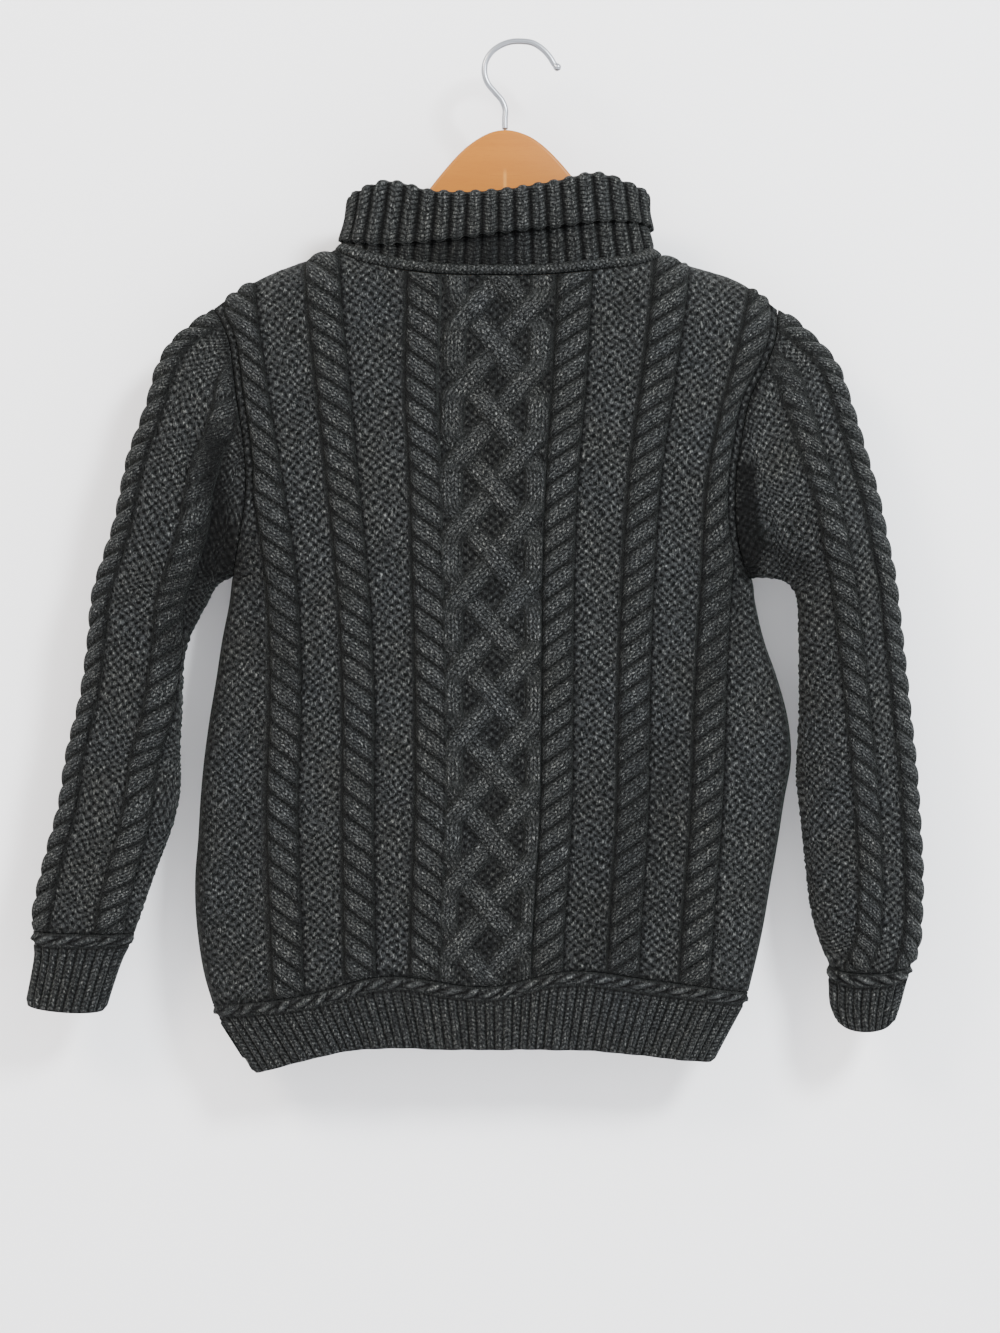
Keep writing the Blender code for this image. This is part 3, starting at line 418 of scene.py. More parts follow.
def plait_relief(x, drop, high):
    """Height, yarn place, painted shade share and cover of the four-strand plait. Strand n is at
    lane L(t + 2n), where t is drop in half repeats and L walks out over lanes 0 to 3 and back
    in eight steps. A strand dips or rises by a sine over each crossing, and the highest one
    shows. The shade is painted at the strands' edges, where a strand dips under another, and
    on the ground between them."""
    time = (drop - PLAIT_FIRST) / PLAIT_HALF_REPEAT
    best = np.full(np.shape(x), -1.0)
    u, v, painted_shade = np.zeros_like(best), np.zeros_like(best), np.ones_like(best)
    for n in range(4):
        t = np.mod(time + 2 * n, 8)
        lane, ahead, behind = (np.interp(np.mod(t + shift, 8), range(9), PLAIT_WALK)
                               for shift in (0, PLAIT_ROUND, -PLAIT_ROUND))
        walk = 0.5 * lane + 0.25 * (ahead + behind)
        going = np.sign(ahead - behind) * (np.abs(ahead - behind) > 0.02)
        slope = np.clip(np.abs(ahead - behind) / (2 * PLAIT_ROUND), 0, 1)
        lean = np.sqrt(1 + (slope * PLAIT_LANE / PLAIT_HALF_REPEAT) ** 2)
        q = (x - (walk - 1.5) * PLAIT_LANE) / (PLAIT_HALF * lean)
        even = np.mod(np.floor(t), 2) < 0.5
        over = np.where(even, -going, going)
        lift = over * np.sin(math.pi * np.mod(t, 1.0)) ** 0.8
        round_off = np.sqrt(np.clip(1 - np.abs(q) ** 2.2, 0, 1))
        height = high * (0.72 + 0.28 * lift) * round_off - np.where(lift < -0.3, 0.6 * MM, 0)
        height = np.where(np.abs(q) < 1, height, -1.0)
        wins = height > best
        best = np.where(wins, height, best)
        u = np.where(wins, q * 1.5, u)
        v = np.where(wins, drop * lean / PLAIT_STITCH, v)
        # painted shade at the strand's edges and where it dips under another
        strand_shade = np.clip(1.6 * (1 - round_off) - 0.2, 0, 1) + 0.25 * np.clip(-lift, 0, 1)
        painted_shade = np.where(wins, np.clip(strand_shade, 0, 1), painted_shade)
    # the ground between the strands gets a painted shade share of 0.6
    covered = best > PLAIT_GROUND
    return np.where(covered, best, PLAIT_GROUND), u, v, np.where(covered, painted_shade, 0.6), covered


def uneven(u, v):
    """Yarn places pulled about by sums of slow sines, as hand knitting is."""
    shift = 0.30 * np.sin(0.83 * u + 0.41 * v) + 0.22 * np.sin(1.37 * v - 0.52 * u + 1.0)
    drift = 0.30 * np.sin(0.71 * v - 0.62 * u + 2.0) + 0.22 * np.sin(1.19 * u + 0.35 * v)
    return u + shift, v + drift


def moss_relief(u, v, high):
    """Moss stitch: sin(pi u) times sin(pi v), bumps and dips in turn like a chess board,
    each row of bumps a little higher or lower than the next."""
    size = 0.85 + 0.15 * np.sin(0.9 * u + 2.3 * v)
    return high * (0.5 + 0.5 * np.sin(math.pi * u) * np.sin(math.pi * v)) * size


# Panels

PANEL_STRIPS = (
    ("moss", 0, 12), ("rope", 1, 14), ("moss", 0, 14), ("rope", 1, 14), ("moss", 0, 14),
    ("rope", 1, 14), ("plait", 0, 60), ("rope", -1, 14), ("moss", 0, 14), ("rope", -1, 14),
    ("moss", 0, 14), ("rope", -1, 14), ("moss", 0, 12),
)


def panel_lines(drop):
    """x of the strips' edges at each drop: body edge, then both sides of each rope."""
    left, right = (read_table(BODY_EDGES, column, drop) for column in (1, 2))
    half = ROPE_HALF + TOP_WIDER * np.clip((0.3 - drop) / 0.15, 0, 1)
    lines = []
    for k in range(6):
        lane = read_table(ROPE_LANES, k + 1, drop)
        lines += [lane - half, lane + half]
    lines[0] = np.maximum(lines[0], left + EDGE_MARGIN)
    lines[1] = np.maximum(lines[1], lines[0] + EDGE_WIDE)
    lines[-1] = np.minimum(lines[-1], right - EDGE_MARGIN)
    lines[-2] = np.minimum(lines[-2], lines[-1] - EDGE_WIDE)
    return np.stack([left] + lines + [right], -1)


def panel_columns(thin):
    """Strip number and share across it of each column; thin divides the cells of a strip."""
    strip, share = [], []
    for number, (_, _, cells) in enumerate(PANEL_STRIPS):
        cells = cells // thin
        strip += [number] * cells
        share += [k / cells for k in range(cells)]
    return np.array(strip + [len(PANEL_STRIPS) - 1]), np.array(share + [1.0])


def armhole_out(side, is_left, drop):
    """Outward direction on the armhole's ellipse, for each drop on it."""
    middle, half = armhole(is_left)
    high = np.clip((middle - drop) / half, -1, 1)
    wide = np.sqrt(1 - high ** 2)
    return unit(np.stack((0 * drop, side * wide / ARM_DEPTH, high / half), -1))


def panel_surface(side, thin, row_step):
    """Base points, outward directions and strip data of a panel. Rows start on its upper
    edge, close together where the shoulder rounds over, and end on its foot."""
    strip, share = panel_columns(thin)

    def x_at(drop):
        lines = panel_lines(drop)
        near, far = (np.take_along_axis(
            lines, np.broadcast_to(number, drop.shape)[..., None], -1)[..., 0]
            for number in (strip, strip + 1))
        return near + (far - near) * share

    start = np.full(len(strip), 0.17)
    for _ in range(16):
        start = 0.5 * start + 0.5 * top_drop(x_at(start), side)
    start[0], start[-1] = LEFT_SLEEVE[0][1] * MM, RIGHT_SLEEVE[0][1] * MM
    foot = read_table(PANEL_FOOT, 1, x_at(np.full(len(strip), 0.625)))
    turn = np.linspace(0, math.radians(72), 17)
    near_top = SHOULDER_ROUND * (1 - np.cos(turn))
    count = 4 * int(round((foot.mean() - start.mean() - near_top[-1]) / row_step / 4))
    rest = np.linspace(0, 1, count + 1)[1:, None]
    first = start + near_top[:, None]
    drop = np.vstack((first, first[-1] + (foot - first[-1]) * rest))
    x = x_at(drop)
    depth = np.maximum(panel_depth(side, x, drop), SEAM_GAP / 2)
    base = np.stack((x, side * depth, -drop), -1)
    out = outward(base, False) * (1 if side == BACK else -1)
    for column, is_left in ((0, True), (-1, False)):
        edge_drop = drop[:, column]
        middle, half = armhole(is_left)
        close = bell(np.abs(x - x[:, column][:, None]), ARM_BLEND)
        close = close * (edge_drop < middle + half)[:, None]
        ring = armhole_out(side, is_left, edge_drop)[:, None, :]
        out = unit(out * (1 - close[..., None]) + ring * close[..., None])
    return base, out, x, drop, strip, share


def panel_pattern(side, x, drop, strip, share, settings):
    """Relief, yarn place, strand share and painted shade share over a panel: the shade is painted
    between the cables' strands, in the purl grooves beside the ropes and in the folds' troughs.
    """
    lines = panel_lines(drop)
    height = np.zeros(x.shape)
    u, v, strand, painted_shade = (np.zeros(x.shape) for _ in range(4))
    stitch, row = settings.stitch_width, settings.row_height
    for number, (kind, lean, _) in enumerate(PANEL_STRIPS):
        pick = strip == number
        near, far = lines[:, pick, number], lines[:, pick, number + 1]
        if kind == "moss":
            anchor = far if number == 0 else near
            u[:, pick], v[:, pick] = uneven((x[:, pick] - anchor) / stitch,
                                            drop[:, pick] / row)
            height[:, pick] = moss_relief(u[:, pick], v[:, pick], settings.moss_high)
            # painted shade in the purl grooves beside the ropes
            edge = np.minimum(x[:, pick] - near, far - x[:, pick])
            painted_shade[:, pick] = 0.95 * bell(edge, GROOVE_WIDE)
        elif kind == "rope":
            s = 2 * share[pick][None, :] - 1 + 0 * x[:, pick]
            height[:, pick], u[:, pick], v[:, pick], painted_shade[:, pick] = rope_relief(
                s, drop[:, pick], lean if side == BACK else -lean, settings.rope_high)
            strand[:, pick] = 1
        else:
            middle = 0.5 * (near + far)
            high, yarn_u, yarn_v, strand_shade, covered = plait_relief(
                x[:, pick] - middle, drop[:, pick], settings.plait_high)
            height[:, pick], strand[:, pick], painted_shade[:, pick] = high, covered, strand_shade
            u[:, pick] = np.where(covered, yarn_u, (x[:, pick] - middle) / stitch)
            v[:, pick] = np.where(covered, yarn_v, drop[:, pick] / row)
    # painted shade in the folds' troughs
    painted_shade = np.maximum(painted_shade, trough_painted_shade(side, x, drop))
    return height, np.stack((u, v), -1), strand, painted_shade


def make_panel(name, side, thin, row_step, settings):
    """A cabled panel: base surface plus relief outside, plain coarse wall inside."""
    base, out, x, drop, strip, share = panel_surface(side, thin, row_step)
    height, yarn, strand, painted_shade = panel_pattern(side, x, drop, strip, share, settings)
    ease = np.minimum(from_ends(len(x), 5)[:, None], from_ends(len(strip), 3))
    height, painted_shade = seamed(height, painted_shade, ease * ease * (3 - 2 * ease))
    outside = base + out * height[..., None]
    ratio = (4, 2)
    inside = (base - out * settings.wall)[::ratio[0], ::ratio[1]]
    return cloth_shell(name, outside, inside, ratio, False, (yarn, strand, painted_shade),
                       flip=side == FRONT)


# Sleeves and cuffs

def sleeve_base(table, left, angles, step):
    """Rings down a sleeve: ellipses between its outer and its underarm line, which start on
    the armhole's edge. Angle 0 is the outer edge and 90 degrees the middle of the back."""
    rows = np.asarray(table, float) * MM
    middle = 0.5 * (rows[:, 0:2] + rows[:, 2:4])
    run = np.r_[0, np.cumsum(np.hypot(*np.diff(middle, axis=0).T) + 0.002)]
    where = np.linspace(0, run[-1], 4 * int(round(run[-1] / step / 4)) + 1)
    outer_x, outer_d, under_x, under_d, depth, tilt = (
        smooth(run, rows[:, k], where)[:, None] for k in range(6))
    high, wide = 0.5 * (1 + np.cos(angles)), np.sin(angles)
    x = under_x + (outer_x - under_x) * high
    drop = under_d + (outer_d - under_d) * high + tilt * wide
    folds = np.where(wide > 0, fold_height(BACK, x, drop), fold_height(FRONT, x, drop))
    grid = np.stack((x, -wide * (depth + folds * np.abs(wide)), -drop), -1)

    centre, half = armhole(left)
    ring_drop = centre - half * np.cos(angles)
    ring_x = read_table(BODY_EDGES, 1 if left else 2, ring_drop)
    ring_depth = np.where(wide > 0, panel_depth(BACK, ring_x, ring_drop),
                          panel_depth(FRONT, ring_x, ring_drop))
    ring = np.stack((ring_x, -np.sign(np.round(wide, 6)) * ring_depth, -ring_drop), 1)
    sideways = np.array((-1.0 if left else 1.0, 0, 0))
    ring_out = unit(np.stack((0 * ring_x, -wide / ARM_DEPTH, np.cos(angles) / half), 1))
    away = unit(np.cross(np.roll(ring, -1, 0) - np.roll(ring, 1, 0), ring_out))
    ring = ring + away * np.sign(away @ sideways)[:, None] * 2 * SEAM_GAP
    fade = np.clip(1 - where / ARM_EASE, 0, 1)[:, None, None] ** 2
    grid = grid + (ring - grid[0]) * fade
    out = outward(grid, True)
    centres = grid.mean(1, keepdims=True)
    out = out if (out * (grid - centres)).sum() > 0 else -out
    near = bell(where, ARM_BLEND)[:, None, None]
    return grid, unit(out * (1 - near) + ring_out * near)


def wale_places(grid, table):
    """Real distances over a sleeve whose wales run beside its outer line: u around the
    cloth from that line, v along the line. The way round is read off an ellipse, whose
    chord from its end is the distance from the line."""
    rows = np.asarray(table, float) * MM
    drops = np.linspace(rows[0, 1], rows[-1, 1], 200)
    line = np.stack((smooth(rows[:, 1], rows[:, 0], drops), drops), 1)
    way = unit(np.gradient(line, axis=0))
    run = np.r_[0, np.cumsum(np.linalg.norm(np.diff(line, axis=0), axis=1))]
    drop = -grid[..., 2]
    off = grid[..., 0] - np.interp(drop, drops, line[:, 0])
    v = np.interp(drop, drops, run) + off * np.interp(drop, drops, way[:, 0])
    v = v + drop - np.clip(drop, drops[0], drops[-1])
    turn = np.linspace(0, math.pi, 91)
    rim_run = np.hypot(SLEEVE_ROUND[0] * np.sin(turn), SLEEVE_ROUND[1] * np.cos(turn)) * turn[1]
    chord = SLEEVE_ROUND[0] * (1 - np.cos(turn))
    apart = np.abs(off) * np.interp(drop, drops, way[:, 1])
    u = np.interp(apart, chord, np.cumsum(rim_run)) + np.maximum(apart - chord[-1], 0)
    return u, v


def sleeve_pattern(grid, table, left, settings):
    """Moss stitch all round, a rope on the outer edge, one on the back and its twin on the
    front, each at its own distance from the outer line. Painted shade goes between a rope's
    strands, in the purl grooves beside each rope and in the folds' troughs."""
    u, v = wale_places(grid, table)
    back = grid[..., 1] <= 0
    around = np.where(back, u, -u)
    yarn_u, yarn_v = uneven(around / settings.stitch_width, v / settings.row_height)
    height = moss_relief(yarn_u, yarn_v, settings.moss_high)
    strand = np.zeros(u.shape)
    # painted shade in the folds' troughs
    painted_shade = np.where(back, trough_painted_shade(BACK, grid[..., 0], -grid[..., 2]),
                      trough_painted_shade(FRONT, grid[..., 0], -grid[..., 2]))
    middle, half = SLEEVE_ROPES[0 if left else 1]
    for centre, reach in (OUTER_ROPE, (middle, half), (-middle, half)):
        s = (around - centre) / reach
        inside = np.abs(s) <= 1
        way = -1 if centre > 0 else 1
        rope, rope_u, rope_v, strand_shade = rope_relief(np.clip(s, -1, 1), v, way, settings.rope_high)
        height, strand = np.where(inside, rope, height), np.where(inside, 1.0, strand)
        yarn_u, yarn_v = np.where(inside, rope_u, yarn_u), np.where(inside, rope_v, yarn_v)
        # painted shade in the purl grooves beside each rope, and between its strands
        beside = bell((np.abs(s) - 1) * reach, GROOVE_WIDE) * 0.75
        painted_shade = np.maximum(painted_shade, np.where(inside, strand_shade, beside))
    return height, np.stack((yarn_u, yarn_v), -1), strand, painted_shade


def make_sleeve(name, table, left, settings):
    """A sleeve shell, with the relief calmed at both of its ends, and its last ring."""
    angles = np.linspace(0, 2 * math.pi, SLEEVE_COLUMNS, endpoint=False)
    grid, out = sleeve_base(table, left, angles, SLEEVE_ROW)
    height, yarn, strand, painted_shade = sleeve_pattern(grid, table, left, settings)
    height, painted_shade = seamed(height, painted_shade, from_ends(len(grid), 4)[:, None])
    outside = grid + out * height[..., None]
    ratio = (4, 4)
    inside = (grid - out * settings.wall)[::ratio[0], ::ratio[1]]
    piece = cloth_shell(name, outside, inside, ratio, True, (yarn, strand, painted_shade),
                        flip=faces_in(grid, out))
    return piece, grid[-1], out[-1]


def faces_in(grid, out):
    """True if the grid's own normals point against the outward directions."""
    return bool((outward(grid, True) * out).sum() < 0)


def even_loop(points, out, count):
    """Evenly spaced places along a closed loop, the loop's start kept."""
    closed, closed_out = np.vstack((points, points[:1])), np.vstack((out, out[:1]))
    run = np.r_[0, np.cumsum(np.linalg.norm(np.diff(closed, axis=0), axis=1))]
    where = np.linspace(0, run[-1], count, endpoint=False)
    return [np.stack([np.interp(where, run, values[:, k]) for k in range(3)], 1)
            for values in (closed, closed_out)]


def chain_phase(turns, off):
    """Strand count of the chain ridge's cord: one strand to two ribs, climbing to the right."""
    return turns * 0.5 + off / CHAIN_STRAND


def rib_relief(turns, off, settings):
    """One knit, one purl rib with a twisted chain ridge over it, and its share of painted shade.
    turns counts ribs round the band, off is the way down from the ridge's middle, and the
    ridge is a bell of it times a slanted ripple."""
    wave = np.cos(2 * math.pi * turns)
    rib = settings.rib_high * (0.5 + 0.5 * np.sign(wave) * np.abs(wave) ** 0.7)
    below = np.clip((off - 0.002) / 0.003, 0, 1)
    twist = 0.5 + 0.5 * np.cos(2 * math.pi * chain_phase(turns, off))
    on_ridge = bell(off, 0.0034)
    ridge = settings.chain_high * on_ridge * (0.3 + 0.7 * twist ** 0.6)
    height = np.maximum(rib * below, ridge) + 0.0003
    # painted shade in the purl furrows, along both sides of the chain ridge and between its cord's
    # strands
    painted_shade = 0.75 * below * (0.5 - 0.5 * wave) ** 1.5 * (1 - bell(off, 0.003))
    dips = bell(np.abs(off) - 0.0052, 0.0016)
    return height, np.maximum(painted_shade, np.maximum(0.8 * dips, on_ridge * (1 - twist) ** 1.3))


def make_band(name, grid, fine, settings, ratio):
    """A ribbed band from its rings, fine columns to a rib: rib relief outside, plain coarse
    wall inside."""
    turns = np.arange(grid.shape[1])[None, :] / fine
    out = outward(grid, True)
    flip = (out * (grid - grid.mean(1, keepdims=True))).sum() < 0
    out = -out if flip else out
    drop = np.cumsum(np.linalg.norm(np.gradient(grid, axis=0), axis=-1), 0)
    drop = drop - drop[0]
    off = drop - CHAIN_AT
    height, painted_shade = rib_relief(turns, off, settings)
    height, _ = seamed(height, painted_shade, from_ends(len(grid), 2)[:, None])
    ribs = np.stack((turns + 0.5 + 0 * drop, drop / settings.row_height), -1)
    cord = np.stack((chain_phase(turns, off) / 2 + 0.25, turns / 2 + 0 * drop), -1)
    yarn = np.where((np.abs(off) < CHAIN_HALF)[..., None], cord, ribs)
    inside = (grid - out * settings.wall)[::ratio[0], ::ratio[1]]
    return cloth_shell(name, grid + out * height[..., None], inside, ratio, True,
                       (yarn, np.full(drop.shape, 1.0), painted_shade), flip=bool(flip))


def make_cuff(name, table, edge, edge_out, settings):
    """A cuff: rings eased from the sleeve's last ring through the cuff's stations."""
    base, _ = even_loop(edge, edge_out, CUFF_RIBS * CUFF_FINE)
    rows = np.asarray(table, float) * MM
    start = base.mean(0)
    first = base + unit(np.array(((rows[0, 0] + rows[0, 2]) / 2, 0,
                                  -(rows[0, 1] + rows[0, 3]) / 2)) - start) * 2 * SEAM_GAP
    reach = 0.5 * (edge[:, 0].max() - edge[:, 0].min())
    high = 0.5 + 0.5 * (base[:, 0] - start[0]) / reach * (-1 if start[0] < 0 else 1)
    wide = -base[:, 1] / np.abs(edge[:, 1]).max()
    rings = [first]
    for outer_x, outer_d, under_x, under_d, depth, tilt in rows[1:]:
        drop = under_d + (outer_d - under_d) * high + tilt * wide
        rings.append(np.stack((under_x + (outer_x - under_x) * high, -wide * depth, -drop), 1))
    grid = blend_rings(np.stack(rings), np.linspace(0, len(rings) - 1, BAND_RINGS))
    return make_band(name, grid, CUFF_FINE, settings, (4, 6))


def blend_rings(stations, where):
    """Rings between stations, each point on its own smooth curve through them."""
    places = np.arange(len(stations), dtype=float)
    slopes = np.gradient(stations, axis=0)
    i = np.clip(where.astype(int), 0, len(places) - 2)
    t = (where - i)[:, None, None]
    near, far = stations[i], stations[i + 1]
    return ((1 + 2 * t) * (1 - t) ** 2 * near + t * t * (3 - 2 * t) * far
            + t * (1 - t) * ((1 - t) * slopes[i] - t * slopes[i + 1]))


# Hem

def make_hem(settings):
    """The hem's rings: from both panels' feet straight down to the hem's own foot."""
    loops = []
    for side in (BACK, FRONT):
        x = np.linspace(-200.0, 156.0, 357) * MM
        drop = read_table(PANEL_FOOT, 1, x)
        left, right = (read_table(BODY_EDGES, column, drop) for column in (1, 2))
        keep = (x > left + 0.0002) & (x < right - 0.0002)
        loops.append(np.stack((x, side * panel_depth(side, x, drop), -drop), 1)[keep])
    corner = [np.array([[read_table(BODY_EDGES, column, np.array(drop)), 0, -drop]])
              for column, drop in ((1, 0.6376), (2, 0.6294))]
    loop = np.vstack((corner[0], loops[0], corner[1], loops[1][::-1]))
    base, _ = even_loop(loop, loop, HEM_RIBS * HEM_FINE)
    left, right = loop[:, 0].min(), loop[:, 0].max()
    share = (base[:, 0] - left) / (right - left)
    foot_x = (HEM_FOOT[0][0] + share * (HEM_FOOT[-1][0] - HEM_FOOT[0][0])) * MM
    foot = np.stack((foot_x, base[:, 1] * 0.86, -read_table(HEM_FOOT, 1, foot_x)), 1)
    first = base - np.array((0, 0, 2 * SEAM_GAP))
    levels = np.linspace(0, 1, BAND_RINGS)[:, None, None]
    pull = np.sin(math.pi * levels) * 0.0015
    turns = np.arange(len(base)) / HEM_FINE
    grid = first + (foot - first) * levels
    sway = 0.0012 * np.sin(2 * math.pi * turns / 7.3) + 0.0008 * np.sin(2 * math.pi * turns / 3.1)
    grid[..., 1] += np.sign(base[:, 1]) * (sway * levels[..., 0] - pull[..., 0])
    return make_band("hem_ribbing", grid, HEM_FINE, settings, (4, 4))


# Neck and collar

def neck_loop(count):
    """The closed neck edge of both panels, from the left neck point round the back, with
    level outward directions."""
    reach = 0.5 - 0.5 * np.cos(np.linspace(0, math.pi, 181))
    x = (NECK_LEFT + (NECK_RIGHT - NECK_LEFT) * reach) * MM
    sides = []
    for side, column in ((BACK, 1), (FRONT, 2)):
        drop = read_table(NECK_LINES, column, x)
        y = side * panel_depth(side, x, drop + 0.0001)
        y[[0, -1]] = 0
        sides.append(np.stack((x, y, -drop), 1))
    loop = np.vstack((sides[0], sides[1][-2:0:-1]))
    along = np.roll(loop, -1, 0) - np.roll(loop, 1, 0)
    out = unit(np.stack((along[:, 1], -along[:, 0], 0 * along[:, 0]), 1))
    centre = loop.mean(0)
    out = out if (out * (loop - centre)).sum() > 0 else -out
    return even_loop(loop, out, count)


def make_neck_band(settings):
    """The picked-up edge: rings from the neck edge up, eased inwards, raised in a ridge, with
    painted shade towards both of its edges.
    """
    loop, out = neck_loop(COLLAR_RIBS * NECK_FINE)
    centre = loop.mean(0)
    share = np.linspace(0, 1, 9)[:, None, None]
    shrink = 1 - np.array((0.06, 0.03, 0.0)) * share
    grid = centre + (loop - centre) * shrink
    grid = grid + np.array((0, 0, 1.0)) * (2 * SEAM_GAP + (NECK_BAND - 4 * SEAM_GAP) * share)
    turns = np.arange(len(loop)) / NECK_FINE
    ripple = 0.5 + 0.5 * np.cos(2 * math.pi * turns * 2)
    ridge = np.sin(math.pi * share[..., 0]) * (0.0016 + 0.0008 * ripple)
    outside = grid + out * (SEAM_HIGH + ridge)[..., None]
    inside = (grid - out * settings.wall)[::4, ::4]
    yarn = np.stack((turns * 2 + 0 * ridge, share[..., 0] * 3 + 0 * ridge), -1)
    # painted shade towards both edges of the band, none on its ridge
    painted_shade = 0.8 - 0.8 * np.sin(math.pi * share[..., 0]) + 0 * ridge
    piece = cloth_shell("neck_edge", outside, inside, (4, 4), True,
                        (yarn, np.ones(ridge.shape), painted_shade), flip=faces_in(grid, out))
    return piece, grid[-1] + np.array((0, 0, 2 * SEAM_GAP)), out


def collar_stations(base, out):
    """Rings round the collar's section: up the inside of the stand, over the fold, down the
    turned part, under its edge and back down the outside of the stand."""
    middle = 0.5 * (base[:, 0].max() + base[:, 0].min())
    half = 0.5 * (base[:, 0].max() - base[:, 0].min())
    across = np.clip((base[:, 0] - middle) / half, -1, 1)
    lines = np.asarray(COLLAR_LINES, float)
    drops = [smooth(lines[:, 0], lines[:, k] * MM, across) for k in range(1, 5)]
    blend = np.clip(0.5 - base[:, 1] / 0.006, 0, 1)
    fold = drops[0] * blend + drops[2] * (1 - blend)
    edge_drop = drops[1] * blend + drops[3] * (1 - blend)
    round_end = np.sqrt(1 - np.abs(across) ** 2.6) * COLLAR_DEPTH * np.sign(base[:, 1])
    top = np.stack((middle + (base[:, 0] - middle) * COLLAR_NARROW, round_end, -fold), 1)
    edge_share = ((-edge_drop - base[:, 2]) / (top[:, 2] - base[:, 2]))[:, None]
    ease = np.clip(np.abs(across) * 1.6 - 0.6, 0, 1)[:, None] * -COLLAR_TUCK
    level = unit(out * np.array((1, 1, 0)))

    def station(share, reach):
        return base + (top - base) * share + level * reach

    turned = 0.5 * (0.95 + edge_share)
    return np.stack((
        station(0.0, -0.0030), station(0.5, -0.0032), station(0.93, -0.0030),
        station(1.005, 0.0002), station(0.985, 0.0046), station(0.93, 0.0068),
        station(turned, 0.0078 + ease), station(edge_share + 0.02, 0.0074 + ease),
        station(edge_share, 0.0058 + 0.85 * ease),
        station(edge_share + 0.03, 0.0040 + 0.5 * ease),
        station(0.86, 0.0020), station(0.45, 0.0010), station(0.0, 0.0008)))


def make_collar(base, out, settings):
    """The folded roll collar: a closed ring of its section, ribbed along the section, with painted
    shade in the rib furrows and under the turned edge.
    """
    stations = collar_stations(base, out)
    padded = np.concatenate((stations[-2:], stations, stations[:3]))
    gaps = np.linalg.norm(np.diff(padded, axis=0), axis=-1).mean(1)
    run = np.r_[0, np.cumsum(gaps)]
    first, last = run[2], run[2 + len(stations)]
    lengths = np.linspace(first, last, 105)[:-1]
    where = np.interp(lengths, run, np.arange(len(run)))
    grid = blend_rings(padded, where)
    section = where - 2
    down = np.roll(grid, -1, 0) - np.roll(grid, 1, 0)
    along = np.roll(grid, -1, 1) - np.roll(grid, 1, 1)
    normal = unit(np.cross(down, along))
    turned = np.argmin(np.abs(section - 6))
    flip = (normal[turned] * (grid[turned] - grid.mean((0, 1)))).sum() < 0
    normal = -normal if flip else normal
    turns = np.arange(grid.shape[1]) / COLLAR_FINE
    wave = np.cos(2 * math.pi * turns)
    rib = 0.5 + 0.5 * np.sign(wave) * np.abs(wave) ** 0.6
    full = np.clip((section - 1.8) / 1.2, 0, 1) * np.clip((12.6 - section) / 0.5, 0, 1)
    share = (0.25 + 0.75 * full)[:, None]
    edge = (1 - 0.6 * bell(section - 8, 0.5) - 0.5 * bell(section - 3, 0.9))[:, None]
    height = settings.rib_high * 1.25 * (rib[None, :] - 0.45) * share * edge
    grid = grid + normal * height[..., None]
    rows, cols = grid.shape[:2]
    numbers = looped(np.arange(rows * cols).reshape(rows, cols))
    numbers = np.vstack((numbers, numbers[:1]))
    v = lengths[:, None] / settings.row_height + 0 * height
    yarn = np.stack((turns[None, :] + 0 * v, v), -1).reshape(-1, 2)
    # painted shade in the rib furrows
    painted_shade = ((0.5 - 0.5 * wave)[None, :] ** 1.5 * share + 0 * v).reshape(-1, 1)
    # painted shade on the outside of the stand under the turned edge, darkest near x = -0.03 and
    # lighter towards both ends
    shaded = np.clip((section - 7.4) / 1.2, 0, 1)[:, None] * np.clip(
        0.9 - np.abs(grid[..., 0] + 0.03) / 0.12, 0.25, 0.75)
    painted_shade = np.maximum(painted_shade, shaded.reshape(-1, 1))
    return mesh_piece("roll_collar", grid.reshape(-1, 3), quads_of(numbers),
                      np.zeros((0, 3), int), (yarn, np.ones((rows * cols, 1)), painted_shade), flip)


# Hanger

def closed_curve(points, steps):
    """Smooth closed curve through points, with the given number of steps between two."""
    points = np.asarray(points, float) * MM
    padded = np.vstack((points[-2:], points, points[:3]))[:, None, :]
    where = 2 + np.arange(len(points) * steps) / steps
    return blend_rings(padded, where)[:, 0]


def make_hanger_wood(edge_round):
    """Flat plate with rounded edges: the outline moved in by a round's versine on rings
    through the thickness, closed by triangles over each face."""
    line = closed_curve([(x, -drop) for x, drop in HANGER_OUTLINE], 5)
    along = np.roll(line, -1, 0) - np.roll(line, 1, 0)
    inward = unit(np.stack((along[:, 1], -along[:, 0]), 1))
    area = (line[:, 0] * np.roll(line[:, 1], -1) - np.roll(line[:, 0], -1) * line[:, 1]).sum()
    inward = -inward if area > 0 else inward
    angle = np.r_[np.linspace(-90, 0, 6), np.linspace(0, 90, 6)] * math.pi / 180
    level = np.sign(np.arange(12) - 5.5) * (HANGER_HALF - edge_round) + edge_round * np.sin(angle)
    inset = edge_round * (1 - np.cos(angle))
    ring = line[None] + inward[None] * inset[:, None, None]
    grid = np.stack((ring[..., 0], 0 * ring[..., 0] + level[:, None], ring[..., 1]), -1)
    rows, cols = grid.shape[:2]
    work = bmesh.new()
    verts = [work.verts.new(point) for point in grid.reshape(-1, 3)]
    numbers = np.arange(rows * cols).reshape(rows, cols)
    for face in quads_of(looped(numbers)).tolist():
        work.faces.new([verts[k] for k in face])
    caps = [work.faces.new([verts[k] for k in numbers[row].tolist()]) for row in (0, -1)]
    bmesh.ops.triangulate(work, faces=caps)
    bmesh.ops.recalc_face_normals(work, faces=work.faces)
    mesh = bpy.data.meshes.new("wooden_hanger")
    work.to_mesh(mesh)
    work.free()
    mesh.shade_smooth()
    return put("wooden_hanger", mesh)


